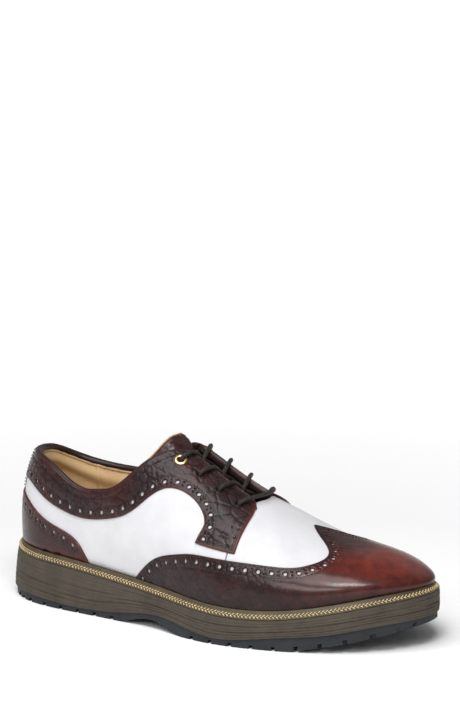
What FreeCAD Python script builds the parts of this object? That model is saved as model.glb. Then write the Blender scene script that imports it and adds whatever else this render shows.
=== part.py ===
import FreeCAD, Part
import math
import os

# Golf shoe, right foot: white leather upper with brown wing tip, collar and heel foxing,
# four-eyelet lacing, stitched welt, soft midsole and a lugged rubber outsole.
# Millimetres.  +X runs to the toe, -Y is the lateral side, +Z is up, the lugs stand on z = 0
# and x = y = 0 is the middle of the shoe's plan.

Vec = FreeCAD.Vector

# ------------------------------------------------------------------ driving dimensions
HALF_LENGTH = 146.0            # half the length of the upper where it meets the welt
PLAN_LATERAL = [(-139, -18.5), (-120, -32), (-92, -38), (-50, -42), (-10, -49.5),
                (25, -57), (60, -54.5), (92, -46), (118, -33), (137, -16)]
PLAN_MEDIAL = [(-139, 19), (-120, 31), (-92, 34), (-50, 30), (-10, 29.5),
               (30, 37), (62, 45), (92, 46), (118, 38), (137, 22)]
TOE_TIP_Y = 4.0
CENTRE_SHIFT_Y = 5.3           # moves the finished shoe so that its plan is centred on y = 0

# heights along the shoe: (x, z)
FEATHER_LINE = [(-150, 36.4), (-120, 35), (-90, 33.5), (-50, 29.8), (-10, 26.4), (30, 22.9),
                (70, 23.5), (105, 29.2), (130, 34.5), (150, 38.2)]
RUBBER_TOP = [(-150, 5.4), (-120, 5.3), (-90, 3.9), (-50, 5.3), (-10, 9.8), (30, 4.2),
              (70, 8), (105, 12.3), (130, 17.3), (150, 20)]
RIDGE_LINE = [(-146, 112), (-112, 116), (-90, 119), (-50, 120), (-17, 111), (10, 96), (32, 84),
              (54, 74), (72, 65.5), (90, 59), (106, 55.5), (126, 52), (146, 47)]
RIDGE_Y = [(-146, 0), (-90, -1), (-40, -2), (0, -3), (54, -1), (100, 4), (146, 5)]
SECTION_WIDTH_POWER = [(-146, 2.15), (-90, 2.4), (0, 2.3), (146, 2.3)]
SECTION_HEIGHT_POWER = [(-146, 2.4), (-90, 2.4), (-40, 2.1), (0, 1.95), (60, 2.0), (146, 2.3)]
SIDE_BULGE = [(-146, 1.2), (-100, 2.6), (-40, 2.5), (0, 2.5), (60, 3.5), (100, 4.5), (146, 6)]
RIDGE_ENDS = (-112.0, 108.0)   # the ridge runs between these, the heel and toe are domed
RIDGE_END_BLEND = 9.0

# sole
WELT_REACH = 6.6
MIDSOLE_REACH = 7.0
OUTSOLE_REACH = 5.7
WELT_THICKNESS = 4.0
BOARD_THICKNESS = 2.2
TREAD_DEPTH = 2.3
GROOVE_WIDTH = 2.6
HEEL_GROOVES = (-138, -124, -110, -96, -82, -68, -54)            # x of the cross grooves
FOREFOOT_GROOVES = (14, 28, 42, 56, 70, 84, 98, 112, 126, 138)
LONG_GROOVES = (-34, -14, 6, 26)                                 # y of the long grooves
HEEL_SPRING = (-125.0, 25.0, 1.9)      # where it starts, its length, its height
ARCH = (-52.0, 12.0, 6.3)              # start, end, height
TOE_SPRING = (68.0, 82.0, 16.3, 1.45)  # start, length, height, power
FLAT_DEPTH = 0.4                       # how much of the lugs is worn to a plane
STITCH_REACH = 4.6
STITCH_RADIUS = 0.55
STITCH_LENGTH = 3.4
STITCH_COUNT = 130

# layers of the upper, measured outwards from the white leather's face: (outside, inside)
OVERLAY = (1.35, 0.15)
BACKSTAY = (2.5, 1.5)
LEATHER = (0.0, -1.2)
STIFFENER = (-1.4, -2.4)
LINING = (-2.6, -3.4)
EDGE_RISE = 1.0                # the upper's pieces start this far above the welt
COLLAR_SWELL = 2.6             # extra thickness of the collar padding
COLLAR_SWELL_BAND = 0.16
BINDING_INNER_RADIUS = 2.6
BINDING_OUTER_RADIUS = 3.3
BINDING_DROP = 2.8

# pattern lines: (turn, height share); turn 0 is the heel's back and 1 the toe's tip
TOPLINE_LATERAL = [(0, 0.572), (0.06, 0.572), (0.12, 0.556), (0.18, 0.525), (0.24, 0.454),
                   (0.284, 0.373), (0.323, 0.342), (0.349, 0.359), (0.377, 0.402),
                   (0.399, 0.493), (0.413, 0.574), (0.424, 0.645), (0.441, 0.751),
                   (0.454, 0.847), (0.470, 0.890), (0.501, 0.897), (0.532, 0.899),
                   (0.562, 0.895), (0.577, 0.872), (0.589, 0.79)]
TOPLINE_MEDIAL = [(0, 0.572), (0.06, 0.556), (0.11, 0.515), (0.185, 0.426), (0.243, 0.371),
                  (0.296, 0.351), (0.323, 0.355), (0.349, 0.372), (0.377, 0.415),
                  (0.399, 0.498), (0.413, 0.574), (0.424, 0.645), (0.441, 0.751),
                  (0.454, 0.847), (0.470, 0.890), (0.501, 0.897), (0.532, 0.899),
                  (0.562, 0.895), (0.577, 0.872), (0.589, 0.79)]
COLLAR_LOWER_EDGE = [(0, 0.34), (0.10, 0.335), (0.168, 0.305), (0.253, 0.218), (0.307, 0.182),
                     (0.350, 0.199), (0.377, 0.229), (0.422, 0.344), (0.444, 0.44),
                     (0.465, 0.533), (0.486, 0.558), (0.51, 0.56)]
TAB_START = (0.498, 0.534)     # the collar's lower edge drops to the tab between these turns
TAB_EDGE = ((0.524, 0.345), (0.589, 0.387))
FOXING_EDGE = [(0, 0.262), (0.08, 0.25), (0.155, 0.215), (0.201, 0.174), (0.252, 0.130),
               (0.289, 0.092), (0.313, 0.064), (0.322, 0.05)]
FOXING_END = 0.322
COUNTER_END = 0.33
WING_EDGE = [(0, -36.5), (0.08, -27), (0.15, -16.5), (0.22, -1), (0.29, 17), (0.35, 42),
             (0.42, 70), (0.5, 83.5), (0.62, 91), (0.72, 91), (0.81, 86.5), (0.93, 75.5), (1, 69)]
QUARTER_FRONT_X = 35.0
THROAT_X = 52.0
LINING_THROAT_X = 60.0
TOE_PUFF_X = 96.0

# lacing
EYELET_TURNS = (0.468, 0.500, 0.532, 0.564)
EYELET_HEIGHT = 0.757
EYELET_HOLE_RADIUS = 2.6
EYELET_BORE_RADIUS = 2.1
RING_RADIUS = 4.1
RING_THICKNESS = 0.6
LACE_RADIUS = 1.3
LARGEST_BEND = 56.0
AGLET_RADIUS = 1.6
AGLET_LENGTH = 14.0

# tongue
TONGUE_FRONT_X = 56.0
TONGUE_END_X = -29.0
TONGUE_END_SWEEP = 11.0
TONGUE_HALF_WIDTH = (11.0, 26.0)
TONGUE_DEPTH = (1.6, 9.0)      # below the leather's face at the throat and under the lacing
TONGUE_TOP_RISE = 10.3
TONGUE_LEATHER = 1.0
TONGUE_PADDING = 3.2
TONGUE_LINING = 0.8
TONGUE_GAP = 0.25

# insides that lift out
FOOTBED_REACH = -6.6
FOOTBED_THICKNESS = 5.0
FOOTBED_GAP = 0.4
HEEL_PAD_RADIUS = 22.0
HEEL_PAD_X = -102.0
HEEL_PAD_DEPTH = 2.0


# ------------------------------------------------------------------ curves
class Curve:
    """Natural cubic curve through (t, value) points, straight beyond its ends."""

    def __init__(self, points):
        self.t = [float(p[0]) for p in points]
        self.v = [float(p[1]) for p in points]
        n = len(points)
        step = [self.t[i + 1] - self.t[i] for i in range(n - 1)]
        diag = [1.0] * n
        upper = [0.0] * n
        right = [0.0] * n
        for i in range(1, n - 1):
            rise = (self.v[i + 1] - self.v[i]) / step[i]
            run = (self.v[i] - self.v[i - 1]) / step[i - 1]
            factor = step[i - 1] / diag[i - 1]
            diag[i] = 2 * (step[i - 1] + step[i]) - factor * upper[i - 1]
            right[i] = 6 * (rise - run) - factor * right[i - 1]
            upper[i] = step[i]
        self.bend = [0.0] * n
        for i in range(n - 2, 0, -1):
            self.bend[i] = (right[i] - upper[i] * self.bend[i + 1]) / diag[i]

    def __call__(self, t):
        last = len(self.t) - 2
        i = 0
        while i < last and t > self.t[i + 1]:
            i += 1
        step = self.t[i + 1] - self.t[i]
        slope = (self.v[i + 1] - self.v[i]) / step
        if t < self.t[0]:
            start = slope - step * (2 * self.bend[0] + self.bend[1]) / 6
            return self.v[0] + start * (t - self.t[0])
        if t > self.t[-1]:
            end = slope + step * (2 * self.bend[-1] + self.bend[-2]) / 6
            return self.v[-1] + end * (t - self.t[-1])
        b = (t - self.t[i]) / step
        a = 1 - b
        cubic = (a ** 3 - a) * self.bend[i] + (b ** 3 - b) * self.bend[i + 1]
        return a * self.v[i] + b * self.v[i + 1] + cubic * step * step / 6


def smooth(low, high, value):
    share = min(max((value - low) / (high - low), 0.0), 1.0)
    return share * share * (3 - 2 * share)


def turn_at(x):
    return math.acos(max(-1.0, min(1.0, -x / HALF_LENGTH))) / math.pi


def closed_plan():
    points = [(-turn_at(x), y) for x, y in reversed(PLAN_LATERAL)]
    points += [(0.0, 0.0)]
    points += [(turn_at(x), y) for x, y in PLAN_MEDIAL]
    points += [(1.0, TOE_TIP_Y)]
    before = [(t - 2, y) for t, y in points[-6:]]
    after = [(t + 2, y) for t, y in points[:6]]
    return Curve(before + points + after)


plan_y = closed_plan()
feather = Curve(FEATHER_LINE)
rubber_top = Curve(RUBBER_TOP)
ridge = Curve(RIDGE_LINE)
ridge_y = Curve(RIDGE_Y)
width_power = Curve(SECTION_WIDTH_POWER)
height_power = Curve(SECTION_HEIGHT_POWER)
side_bulge = Curve(SIDE_BULGE)
topline_lateral = Curve(TOPLINE_LATERAL)
topline_medial = Curve(TOPLINE_MEDIAL)
collar_lower = Curve(COLLAR_LOWER_EDGE)
foxing_edge = Curve(FOXING_EDGE)
wing_edge = Curve(WING_EDGE)


def plan(turn):
    """Plan point of the feather line: turn -1..0 lateral from toe to heel, 0..1 medial."""
    return -HALF_LENGTH * math.cos(math.pi * turn), plan_y(turn)


def reached_plan(turn, reach):
    """Plan point moved outwards by reach."""
    step = 1e-3
    ax, ay = plan(turn - step)
    bx, by = plan(turn + step)
    length = math.hypot(bx - ax, by - ay)
    x, y = plan(turn)
    return x - (by - ay) / length * reach, y + (bx - ax) / length * reach


def soft_step(value):
    return value if value > 30 else math.log1p(math.exp(max(value, -30.0)))


def ridge_foot(x):
    """x of the ridge point that the section through plan point x climbs to."""
    front = RIDGE_END_BLEND * soft_step((x - RIDGE_ENDS[1]) / RIDGE_END_BLEND)
    back = RIDGE_END_BLEND * soft_step((RIDGE_ENDS[0] - x) / RIDGE_END_BLEND)
    return x - front + back


def skin(turn, height):
    """Point of the white leather's outer face; height 0 is the feather line, 1 the ridge."""
    foot_x, foot_y = plan(turn)
    top_x = ridge_foot(foot_x)
    top_y = ridge_y(top_x)
    angle = height * math.pi / 2
    cosine = max(math.cos(angle), 0.0)
    reach = cosine ** (2 / width_power(foot_x))
    climb = math.sin(angle) ** (2 / height_power(foot_x))
    half_width = math.hypot(foot_x - top_x, foot_y - top_y)
    bulge = side_bulge(foot_x) / half_width
    reach += 1.3 * bulge * math.sin(2 * angle) * cosine * cosine
    x = top_x + (foot_x - top_x) * reach
    y = top_y + (foot_y - top_y) * reach
    low = feather(foot_x)
    return Vec(x, y, low + (ridge(x) - low) * climb)


def normal(turn, height):
    """Outward unit normal of the leather's face."""
    if height > 0.998:
        x = skin(turn, 1.0).x
        slope = (ridge(x + 0.5) - ridge(x - 0.5))
        return Vec(-slope, 0, 1).normalize()
    step = 1e-3
    low = max(height - step, 0.0)
    along = skin(turn + step, height) - skin(turn - step, height)
    climb = skin(turn, height + step) - skin(turn, low)
    return climb.cross(along).normalize()


def layer_point(turn, height, depth):
    return skin(turn, height) + normal(turn, height) * depth


def lowest_edge(turn):
    """Height share at which the upper's pieces start."""
    foot_x, _ = plan(turn)
    climb = EDGE_RISE / (ridge(foot_x) - feather(foot_x))
    return math.asin(climb ** (height_power(foot_x) / 2)) * 2 / math.pi


def climb_rate(turn, height):
    """Millimetres of leather per unit of height share."""
    step = 2e-3
    return (skin(turn, height + step) - skin(turn, height - step)).Length / (2 * step)


def topline(turn):
    return topline_lateral(-turn) if turn < 0 else topline_medial(turn)


def stack_top(turn):
    """Top edge of the leathers: under the binding, then along the facing."""
    top = topline(turn)
    fade = 1 - smooth(0.455, 0.475, abs(turn))
    return top - fade * BINDING_DROP / climb_rate(turn, top)


def collar_low(turn):
    turn = abs(turn)
    (tab_a, low_a), (tab_b, low_b) = TAB_EDGE
    tab = low_a + (low_b - low_a) * (turn - tab_a) / (tab_b - tab_a)
    share = smooth(TAB_START[0], TAB_START[1], turn)
    return (1 - share) * collar_lower(min(turn, 0.51)) + share * tab


def collar_swell(turn, height):
    """Extra depth of the padded collar band."""
    top = stack_top(turn)
    share = (height - top + COLLAR_SWELL_BAND) / COLLAR_SWELL_BAND
    if share <= 0 or share >= 1:
        return 0.0
    fade = 1 - smooth(0.34, 0.43, abs(turn))
    return COLLAR_SWELL * math.sin(math.pi * share) ** 2 * fade


# ------------------------------------------------------------------ closed solids from faces
def spline_basis(count):
    """Sampling parameters of a clamped cubic with this many poles, and its inverse matrix."""
    spans = count - 3
    knots = [0.0] * 3 + [i / spans for i in range(spans + 1)] + [1.0] * 3
    params = [(knots[i + 1] + knots[i + 2] + knots[i + 3]) / 3 for i in range(count)]

    def value(i, degree, t):
        if degree == 0:
            inside = knots[i] <= t < knots[i + 1]
            return 1.0 if inside or (t == 1.0 and knots[i] < 1.0 == knots[i + 1]) else 0.0
        total = 0.0
        left = knots[i + degree] - knots[i]
        right = knots[i + degree + 1] - knots[i + 1]
        if left > 0:
            total += (t - knots[i]) / left * value(i, degree - 1, t)
        if right > 0:
            total += (knots[i + degree + 1] - t) / right * value(i + 1, degree - 1, t)
        return total

    rows = [[value(j, 3, t) for j in range(count)] for t in params]
    inverse = [[float(i == j) for j in range(count)] for i in range(count)]
    for i in range(count):
        pivot = max(range(i, count), key=lambda k: abs(rows[k][i]))
        rows[i], rows[pivot] = rows[pivot], rows[i]
        inverse[i], inverse[pivot] = inverse[pivot], inverse[i]
        scale = rows[i][i]
        rows[i] = [v / scale for v in rows[i]]
        inverse[i] = [v / scale for v in inverse[i]]
        for k in range(count):
            factor = rows[k][i]
            if k != i and factor:
                rows[k] = [a - factor * b for a, b in zip(rows[k], rows[i])]
                inverse[k] = [a - factor * b for a, b in zip(inverse[k], inverse[i])]
    return params, inverse


BASES = {}


def basis(count):
    if count not in BASES:
        BASES[count] = spline_basis(count)
    return BASES[count]


def poles_of(point_at, count_u, count_v):
    params_u, inverse_u = basis(count_u)
    params_v, inverse_v = basis(count_v)
    grid = [[point_at(u, v) for v in params_v] for u in params_u]
    across = [[sum((p * w for p, w in zip(row, weights)), Vec())
               for weights in inverse_v] for row in grid]
    return [[sum((across[k][j] * weights[k] for k in range(count_u)), Vec())
             for j in range(count_v)] for weights in inverse_u]


def knots_of(count, degree):
    spans = count - degree
    return [i / spans for i in range(spans + 1)], [degree + 1] + [1] * (spans - 1) + [degree + 1]


def face_from_poles(poles):
    degree_v = min(3, len(poles[0]) - 1)
    knots_u, mults_u = knots_of(len(poles), 3)
    knots_v, mults_v = knots_of(len(poles[0]), degree_v)
    surface = Part.BSplineSurface()
    surface.buildFromPolesMultsKnots(poles, mults_u, mults_v, knots_u, knots_v,
                                     False, False, 3, degree_v)
    return surface.toShape()


def strip(edge_a, edge_b):
    return face_from_poles([[a, b] for a, b in zip(edge_a, edge_b)])


def column(poles, j):
    return [row[j] for row in poles]


def closed_solid(faces):
    shell = Part.Shell(faces)
    shell.sewShape()
    solid = Part.Solid(shell)
    if solid.Volume < 0:
        solid.reverse()
    return solid


def sheet_solid(outside, inside, count_u=30, count_v=12):
    """Solid between two four-sided faces that share their parameters."""
    a = poles_of(outside, count_u, count_v)
    b = poles_of(inside, count_u, count_v)
    faces = [face_from_poles(a), face_from_poles(b)]
    faces += [strip(a[0], b[0]), strip(a[-1], b[-1])]
    faces += [strip(column(a, 0), column(b, 0)), strip(column(a, -1), column(b, -1))]
    return closed_solid(faces)


def leather_piece(start, end, low, high, layer, count_u=30, count_v=12, swell=None):
    """Piece between two turns; low and high give its edges' heights at a turn."""
    def point(u, v, depth):
        turn = start + (end - start) * u
        bottom = low(turn)
        height = bottom + (high(turn) - bottom) * v
        extra = swell(turn, height) if swell else 0.0
        return layer_point(turn, height, depth - extra)

    return sheet_solid(lambda u, v: point(u, v, layer[0]),
                       lambda u, v: point(u, v, layer[1]), count_u, count_v)


def domed_piece(rear_turn, low_edge, layer, count_u=26, count_v=18):
    """Piece over the forefoot and toe: two halves that meet along the ridge and the toe line."""
    faces = []
    rims = []
    for side in (-1, 1):
        def point(u, v, depth):
            rear = rear_turn(v)
            turn = side * (rear + (1 - rear) * u)
            low = low_edge(turn)
            return layer_point(turn, low + (1 - low) * v, depth)

        a = poles_of(lambda u, v: point(u, v, layer[0]), count_u, count_v)
        b = poles_of(lambda u, v: point(u, v, layer[1]), count_u, count_v)
        rims.append((a, b))
    # the two halves share their toe line and their ridge exactly
    (a1, b1), (a2, b2) = rims
    for one, two in ((a1, a2), (b1, b2)):
        two[-1] = list(one[-1])
        for i in range(count_u):
            two[i][-1] = one[i][-1]
    for a, b in rims:
        faces += [face_from_poles(a), face_from_poles(b)]
        faces += [strip(a[0], b[0]), strip(column(a, 0), column(b, 0))]
    return closed_solid(faces)


# ------------------------------------------------------------------ plan and profile prisms
def spline_wire(points, periodic):
    curve = Part.BSplineCurve()
    curve.interpolate(Points=points, PeriodicFlag=periodic)
    return curve.toShape()


def plan_prism(reach, count=72):
    points = []
    for i in range(count):
        x, y = reached_plan(-1 + 2 * i / count, reach)
        points.append(Vec(x, y, -20))
    face = Part.Face(Part.Wire([spline_wire(points, True)]))
    return face.extrude(Vec(0, 0, 110))


def profile_prism(bottom, top, start=-165.0, end=165.0, count=56):
    """Everything between two height curves from start to end, across the whole width."""
    xs = [start + (end - start) * i / (count - 1) for i in range(count)]
    low = [Vec(x, -90, bottom(x)) for x in xs]
    high = [Vec(x, -90, top(x)) for x in xs]
    edges = [spline_wire(low, False), Part.makeLine(low[-1], high[-1]),
             spline_wire(high, False), Part.makeLine(low[0], high[0])]
    face = Part.Face(Part.Wire(Part.__sortEdges__(edges)))
    return face.extrude(Vec(0, 180, 0))


def slab(reach, bottom, top, start=-165.0, end=165.0):
    return plan_prism(reach).common(profile_prism(bottom, top, start, end))


def ground(x):
    """Underside of the lugs: flat at heel and ball, raised at the arch and the toe."""
    start, length, height = HEEL_SPRING
    z = height * (max(start - x, 0.0) / length) ** 2
    start, end, height = ARCH
    if start < x < end:
        z += height * math.sin(math.pi * (x - start) / (end - start)) ** 2
    start, length, height, power = TOE_SPRING
    return z + height * (max(x - start, 0.0) / length) ** power


# ------------------------------------------------------------------ the pieces
def outsole():
    body = slab(OUTSOLE_REACH, lambda x: ground(x) - FLAT_DEPTH, rubber_top)
    body = body.common(Part.makeBox(330, 180, 60, Vec(-165, -90, 0)))
    grooves = []
    for x in HEEL_GROOVES + FOREFOOT_GROOVES:
        grooves.append(Part.makeBox(GROOVE_WIDTH, 180, 60, Vec(x, -90, -20)))
    for y in LONG_GROOVES:
        grooves.append(Part.makeBox(100, GROOVE_WIDTH, 60, Vec(-150, y, -20)))
        grooves.append(Part.makeBox(150, GROOVE_WIDTH, 60, Vec(8, y, -20)))
    network = grooves[0].multiFuse(grooves[1:])
    tread = profile_prism(lambda x: -15.0, lambda x: ground(x) + TREAD_DEPTH)
    return body.cut(network.common(tread))


def midsole():
    return slab(MIDSOLE_REACH, lambda x: rubber_top(x) + 0.02,
                lambda x: feather(x) - WELT_THICKNESS - 0.02)


def welt():
    ring = slab(WELT_REACH, lambda x: feather(x) - WELT_THICKNESS, feather)
    return ring.cut(plan_prism(LINING[1] - 0.2))


def welt_stitching():
    """Threads lying along the welt, sunk by half into its top."""
    threads = []
    for i in range(STITCH_COUNT):
        turn = -1 + 2 * (i + 0.5) / STITCH_COUNT
        x, y = reached_plan(turn, STITCH_REACH)
        nx, ny = reached_plan(turn + 0.004, STITCH_REACH)
        along = Vec(nx - x, ny - y, feather(nx) - feather(x)).normalize()
        centre = Vec(x, y, feather(x) + 0.1)
        spacing = (Vec(nx, ny, 0) - Vec(x, y, 0)).Length / 0.004 * 2 / STITCH_COUNT
        length = min(STITCH_LENGTH, 0.72 * spacing)
        start = centre - along * (length / 2)
        threads.append(Part.makeCylinder(STITCH_RADIUS, length, start, along))
    return Part.makeCompound(threads)


def insole_board():
    return slab(LINING[1] - 0.4, lambda x: feather(x) - BOARD_THICKNESS, feather)


def bottom_filler():
    return slab(LINING[1] - 0.8, lambda x: feather(x) - WELT_THICKNESS + 0.1,
                lambda x: feather(x) - BOARD_THICKNESS - 0.1, 4.0, 165.0)


def shank():
    strip_box = Part.makeBox(112, 17, 80, Vec(-112, -14, -10))
    layer = profile_prism(lambda x: feather(x) - WELT_THICKNESS + 0.1,
                          lambda x: feather(x) - BOARD_THICKNESS - 0.1)
    return layer.common(strip_box)


def footbed():
    body = slab(FOOTBED_REACH, lambda x: feather(x) + FOOTBED_GAP,
                lambda x: feather(x) + FOOTBED_GAP + FOOTBED_THICKNESS)
    return body.cut(heel_pad_blank(0.1))


def heel_pad_blank(clearance):
    """Oval pad sunk into the heel of the footbed."""
    disc = Part.makeCylinder(HEEL_PAD_RADIUS + clearance, 80, Vec(HEEL_PAD_X, 0, 0))
    rise = FOOTBED_GAP + FOOTBED_THICKNESS
    drop = HEEL_PAD_DEPTH + clearance
    layer = profile_prism(lambda x: feather(x) + rise - drop,
                          lambda x: feather(x) + rise + 10 * clearance)
    return layer.common(disc)


def quarter(side):
    front = turn_at(QUARTER_FRONT_X)
    return leather_piece(side * 0.0035, side * front, lowest_edge, stack_top, LEATHER, 40, 14)


def quarter_lining():
    front = turn_at(QUARTER_FRONT_X)
    return leather_piece(-front, front, lowest_edge, stack_top, LINING, 70, 18, collar_swell)


def vamp_rear(height):
    lift = max(height - 0.8, 0.0) / 0.2
    return turn_at(QUARTER_FRONT_X + 0.4 + (THROAT_X - QUARTER_FRONT_X - 0.4) * lift ** 1.5)


def lining_low(turn):
    """At the toe's tip the lining starts above the fold between wall and dome."""
    low = lowest_edge(turn)
    return low + (0.34 - low) * smooth(0.72, 0.92, abs(turn))


def wing_low(turn):
    return lowest_edge(turn) + 0.07 * smooth(0.75, 0.95, abs(turn))


def lining_rear(height):
    x = QUARTER_FRONT_X + 0.5
    return turn_at(x + (LINING_THROAT_X - x) * smooth(0.60, 0.80, height))


def drill_holes(shape):
    """Eyelet holes through every layer of both facings."""
    for side in (-1, 1):
        for turn in EYELET_TURNS:
            out = normal(side * turn, EYELET_HEIGHT)
            start = skin(side * turn, EYELET_HEIGHT) - out * 9
            shape = shape.cut(Part.makeCylinder(EYELET_HOLE_RADIUS, 18, start, out))
    return shape


def collar_facing(side):
    return leather_piece(side * 0.0035, side * 0.589, collar_low, stack_top, OVERLAY, 60, 10)


def facing_stay(side):
    return leather_piece(side * 0.45, side * turn_at(QUARTER_FRONT_X - 1),
                         lambda t: 0.64, lambda t: min(stack_top(t), 0.88) - 0.012,
                         STIFFENER, 12, 8)


def heel_foxing():
    return leather_piece(-FOXING_END, FOXING_END, lowest_edge, lambda t: foxing_edge(abs(t)),
                         OVERLAY, 34, 8)


def backstay():
    half = 0.034
    return leather_piece(-half, half, lambda t: 0.245, lambda t: stack_top(t) - 0.012,
                         BACKSTAY, 8, 14)


def heel_counter():
    """Moulded stiffener round the heel."""
    def high(turn):
        return 0.33 - 0.22 * smooth(0.14, COUNTER_END, abs(turn))

    return leather_piece(-COUNTER_END, COUNTER_END, lowest_edge, high, STIFFENER, 34, 8)


def collar_padding():
    end = 0.425

    def point(u, v, outer):
        turn = -end + 2 * end * u
        top = stack_top(turn) - 0.012
        height = top - COLLAR_SWELL_BAND * 0.92 * (1 - v)
        depth = STIFFENER[0] if outer else STIFFENER[1] - collar_swell(turn, height)
        return layer_point(turn, height, depth)

    return sheet_solid(lambda u, v: point(u, v, True), lambda u, v: point(u, v, False), 60, 10)


def topline_binding():
    """Folded leather strip over the top edge of collar, quarter and lining."""
    end = 0.462
    middle = (OVERLAY[0] + LINING[1]) / 2

    def point(u, v, radius):
        turn = -end + 2 * end * u
        height = stack_top(turn)
        step = 1e-3
        centre = layer_point(turn, height, middle)
        along = layer_point(turn + step, stack_top(turn + step), middle)
        along = (along - layer_point(turn - step, stack_top(turn - step), middle)).normalize()
        out = normal(turn, height)
        up = along.cross(out).normalize()
        if up.z < 0:
            up = up * -1
        out = (out - up * out.dot(up)).normalize()
        angle = math.radians(-12 + 204 * v)
        return centre + (out * math.cos(angle) + up * math.sin(angle)) * radius

    return sheet_solid(lambda u, v: point(u, v, BINDING_OUTER_RADIUS),
                       lambda u, v: point(u, v, BINDING_INNER_RADIUS), 80, 9)


def wing_rear(height):
    return turn_at(wing_edge(height))


# tongue ---------------------------------------------------------------------------------
def height_at_width(x, y):
    """Turn and height share of the skin's point above plan place x, y."""
    side = -1 if y < ridge_y(x) else 1
    turn = side * turn_at(x)
    low, high = 0.0, 1.0
    for _ in range(30):
        middle = (low + high) / 2
        if (skin(turn, middle).y - y) * side > 0:
            low = middle
        else:
            high = middle
    return turn, (low + high) / 2


def tongue_point(u, v, depth):
    """u runs from the throat to the tongue's top, v from its lateral to its medial edge."""
    across = 2 * v - 1
    narrow, wide = TONGUE_HALF_WIDTH
    half = narrow + (wide - narrow) * smooth(0.0, 0.75, u)
    end = TONGUE_END_X - TONGUE_END_SWEEP * across ** 2
    x = TONGUE_FRONT_X + (end - TONGUE_FRONT_X) * u
    y = ridge_y(x) + across * half
    turn, height = height_at_width(x, y)
    shallow, deep = TONGUE_DEPTH
    base = shallow + (deep - shallow) * smooth(TONGUE_FRONT_X - 2, TONGUE_FRONT_X - 16, x)
    rise = TONGUE_TOP_RISE * smooth(-8, -30, x) * (1 - smooth(5, 16, abs(across * half)))
    return layer_point(turn, height, rise - base - depth)


def tongue_sheet(outer, inner, start=0.0, end=1.0, edge=0.0):
    def point(u, v, depth):
        return tongue_point(start + (end - start) * u, edge + (1 - 2 * edge) * v, depth)

    return sheet_solid(lambda u, v: point(u, v, outer), lambda u, v: point(u, v, inner), 22, 14)


def tongue_outer():
    return tongue_sheet(0.0, TONGUE_LEATHER)


def tongue_padding():
    top = TONGUE_LEATHER + TONGUE_GAP
    return tongue_sheet(top, top + TONGUE_PADDING, 0.22, 0.97, 0.04)


def tongue_lining():
    top = TONGUE_LEATHER + TONGUE_PADDING + 2 * TONGUE_GAP
    return tongue_sheet(top, top + TONGUE_LINING, 0.2)


# eyelets and lace -----------------------------------------------------------------------
def eyelet_frame(side, number):
    turn = side * EYELET_TURNS[number - 1]
    return skin(turn, EYELET_HEIGHT), normal(turn, EYELET_HEIGHT)


def blind_eyelets():
    tubes = []
    for side in (-1, 1):
        for number in (2, 3, 4):
            centre, out = eyelet_frame(side, number)
            start = centre + out * (LINING[1] - 0.2)
            length = OVERLAY[0] - LINING[1]
            tube = Part.makeCylinder(EYELET_HOLE_RADIUS - 0.05, length, start, out)
            bore = Part.makeCylinder(EYELET_BORE_RADIUS, length + 2, start - out, out)
            tubes.append(tube.cut(bore))
    return Part.makeCompound(tubes)


def top_eyelets():
    tubes = []
    for side in (-1, 1):
        centre, out = eyelet_frame(side, 1)
        start = centre + out * (LINING[1] - 0.2)
        length = OVERLAY[0] - LINING[1] + 0.5
        tube = Part.makeCylinder(EYELET_HOLE_RADIUS - 0.05, length, start, out)
        ring = Part.makeCylinder(RING_RADIUS, RING_THICKNESS, centre + out * (OVERLAY[0] + 0.25), out)
        bore = Part.makeCylinder(EYELET_BORE_RADIUS, length + 4, start - out, out)
        tubes.append(tube.fuse(ring).cut(bore))
    return Part.makeCompound(tubes)


ABOVE = OVERLAY[0] + LACE_RADIUS + 1.6     # height of the lace's middle over the facing
BELOW = LINING[1] - LACE_RADIUS - 0.6      # and under it


def through_eyelet(side, number, downwards):
    centre, out = eyelet_frame(side, number)
    ends = [centre + out * ABOVE, centre + out * BELOW]
    return ends if downwards else ends[::-1]


def crossing(side, number, over):
    """From under the facing at one eyelet, over the gap, to above the next eyelet across."""
    turn = EYELET_TURNS[number - 1]
    next_turn = EYELET_TURNS[number - 2]
    under = layer_point(side * (turn * 0.72 + next_turn * 0.28), 0.88, BELOW - 0.4)
    above = layer_point(-side * (turn * 0.25 + next_turn * 0.75), 0.885, ABOVE - 0.1)
    middle = (under + above) * 0.5
    middle = middle + Vec(0.2, 0, 1) * (1.5 if over else -1.7)
    return [under, middle, above]


def tucked_end(side):
    """The lace's end lies between tongue and lining, down towards the ankle."""
    turn = side * EYELET_TURNS[0]
    return [layer_point(turn - side * 0.002, 0.65, BELOW - 0.3),
            layer_point(turn - side * 0.006, 0.55, BELOW - 0.9),
            layer_point(turn - side * 0.010, 0.45, BELOW - 2.2)]


def lace_route():
    """One lace: tucked end, up the zigzag to the bar across the lowest eyelets, and back."""
    route = tucked_end(1)[::-1]
    route += through_eyelet(1, 1, False)
    route += crossing(-1, 2, True)[::-1]
    route += through_eyelet(-1, 2, False)
    route += crossing(1, 3, False)[::-1]
    route += through_eyelet(1, 3, False)
    route += crossing(-1, 4, True)[::-1]
    route += through_eyelet(-1, 4, False)
    route += [layer_point(-turn_at(37), 0.93, ABOVE + 0.6)]
    route += [layer_point(turn_at(37), 0.93, ABOVE + 0.6)]
    route += through_eyelet(1, 4, True)
    route += crossing(1, 4, False)
    route += through_eyelet(-1, 3, True)
    route += crossing(-1, 3, True)
    route += through_eyelet(1, 2, True)
    route += crossing(1, 2, False)
    route += through_eyelet(-1, 1, True)
    route += tucked_end(-1)
    return route


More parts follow.
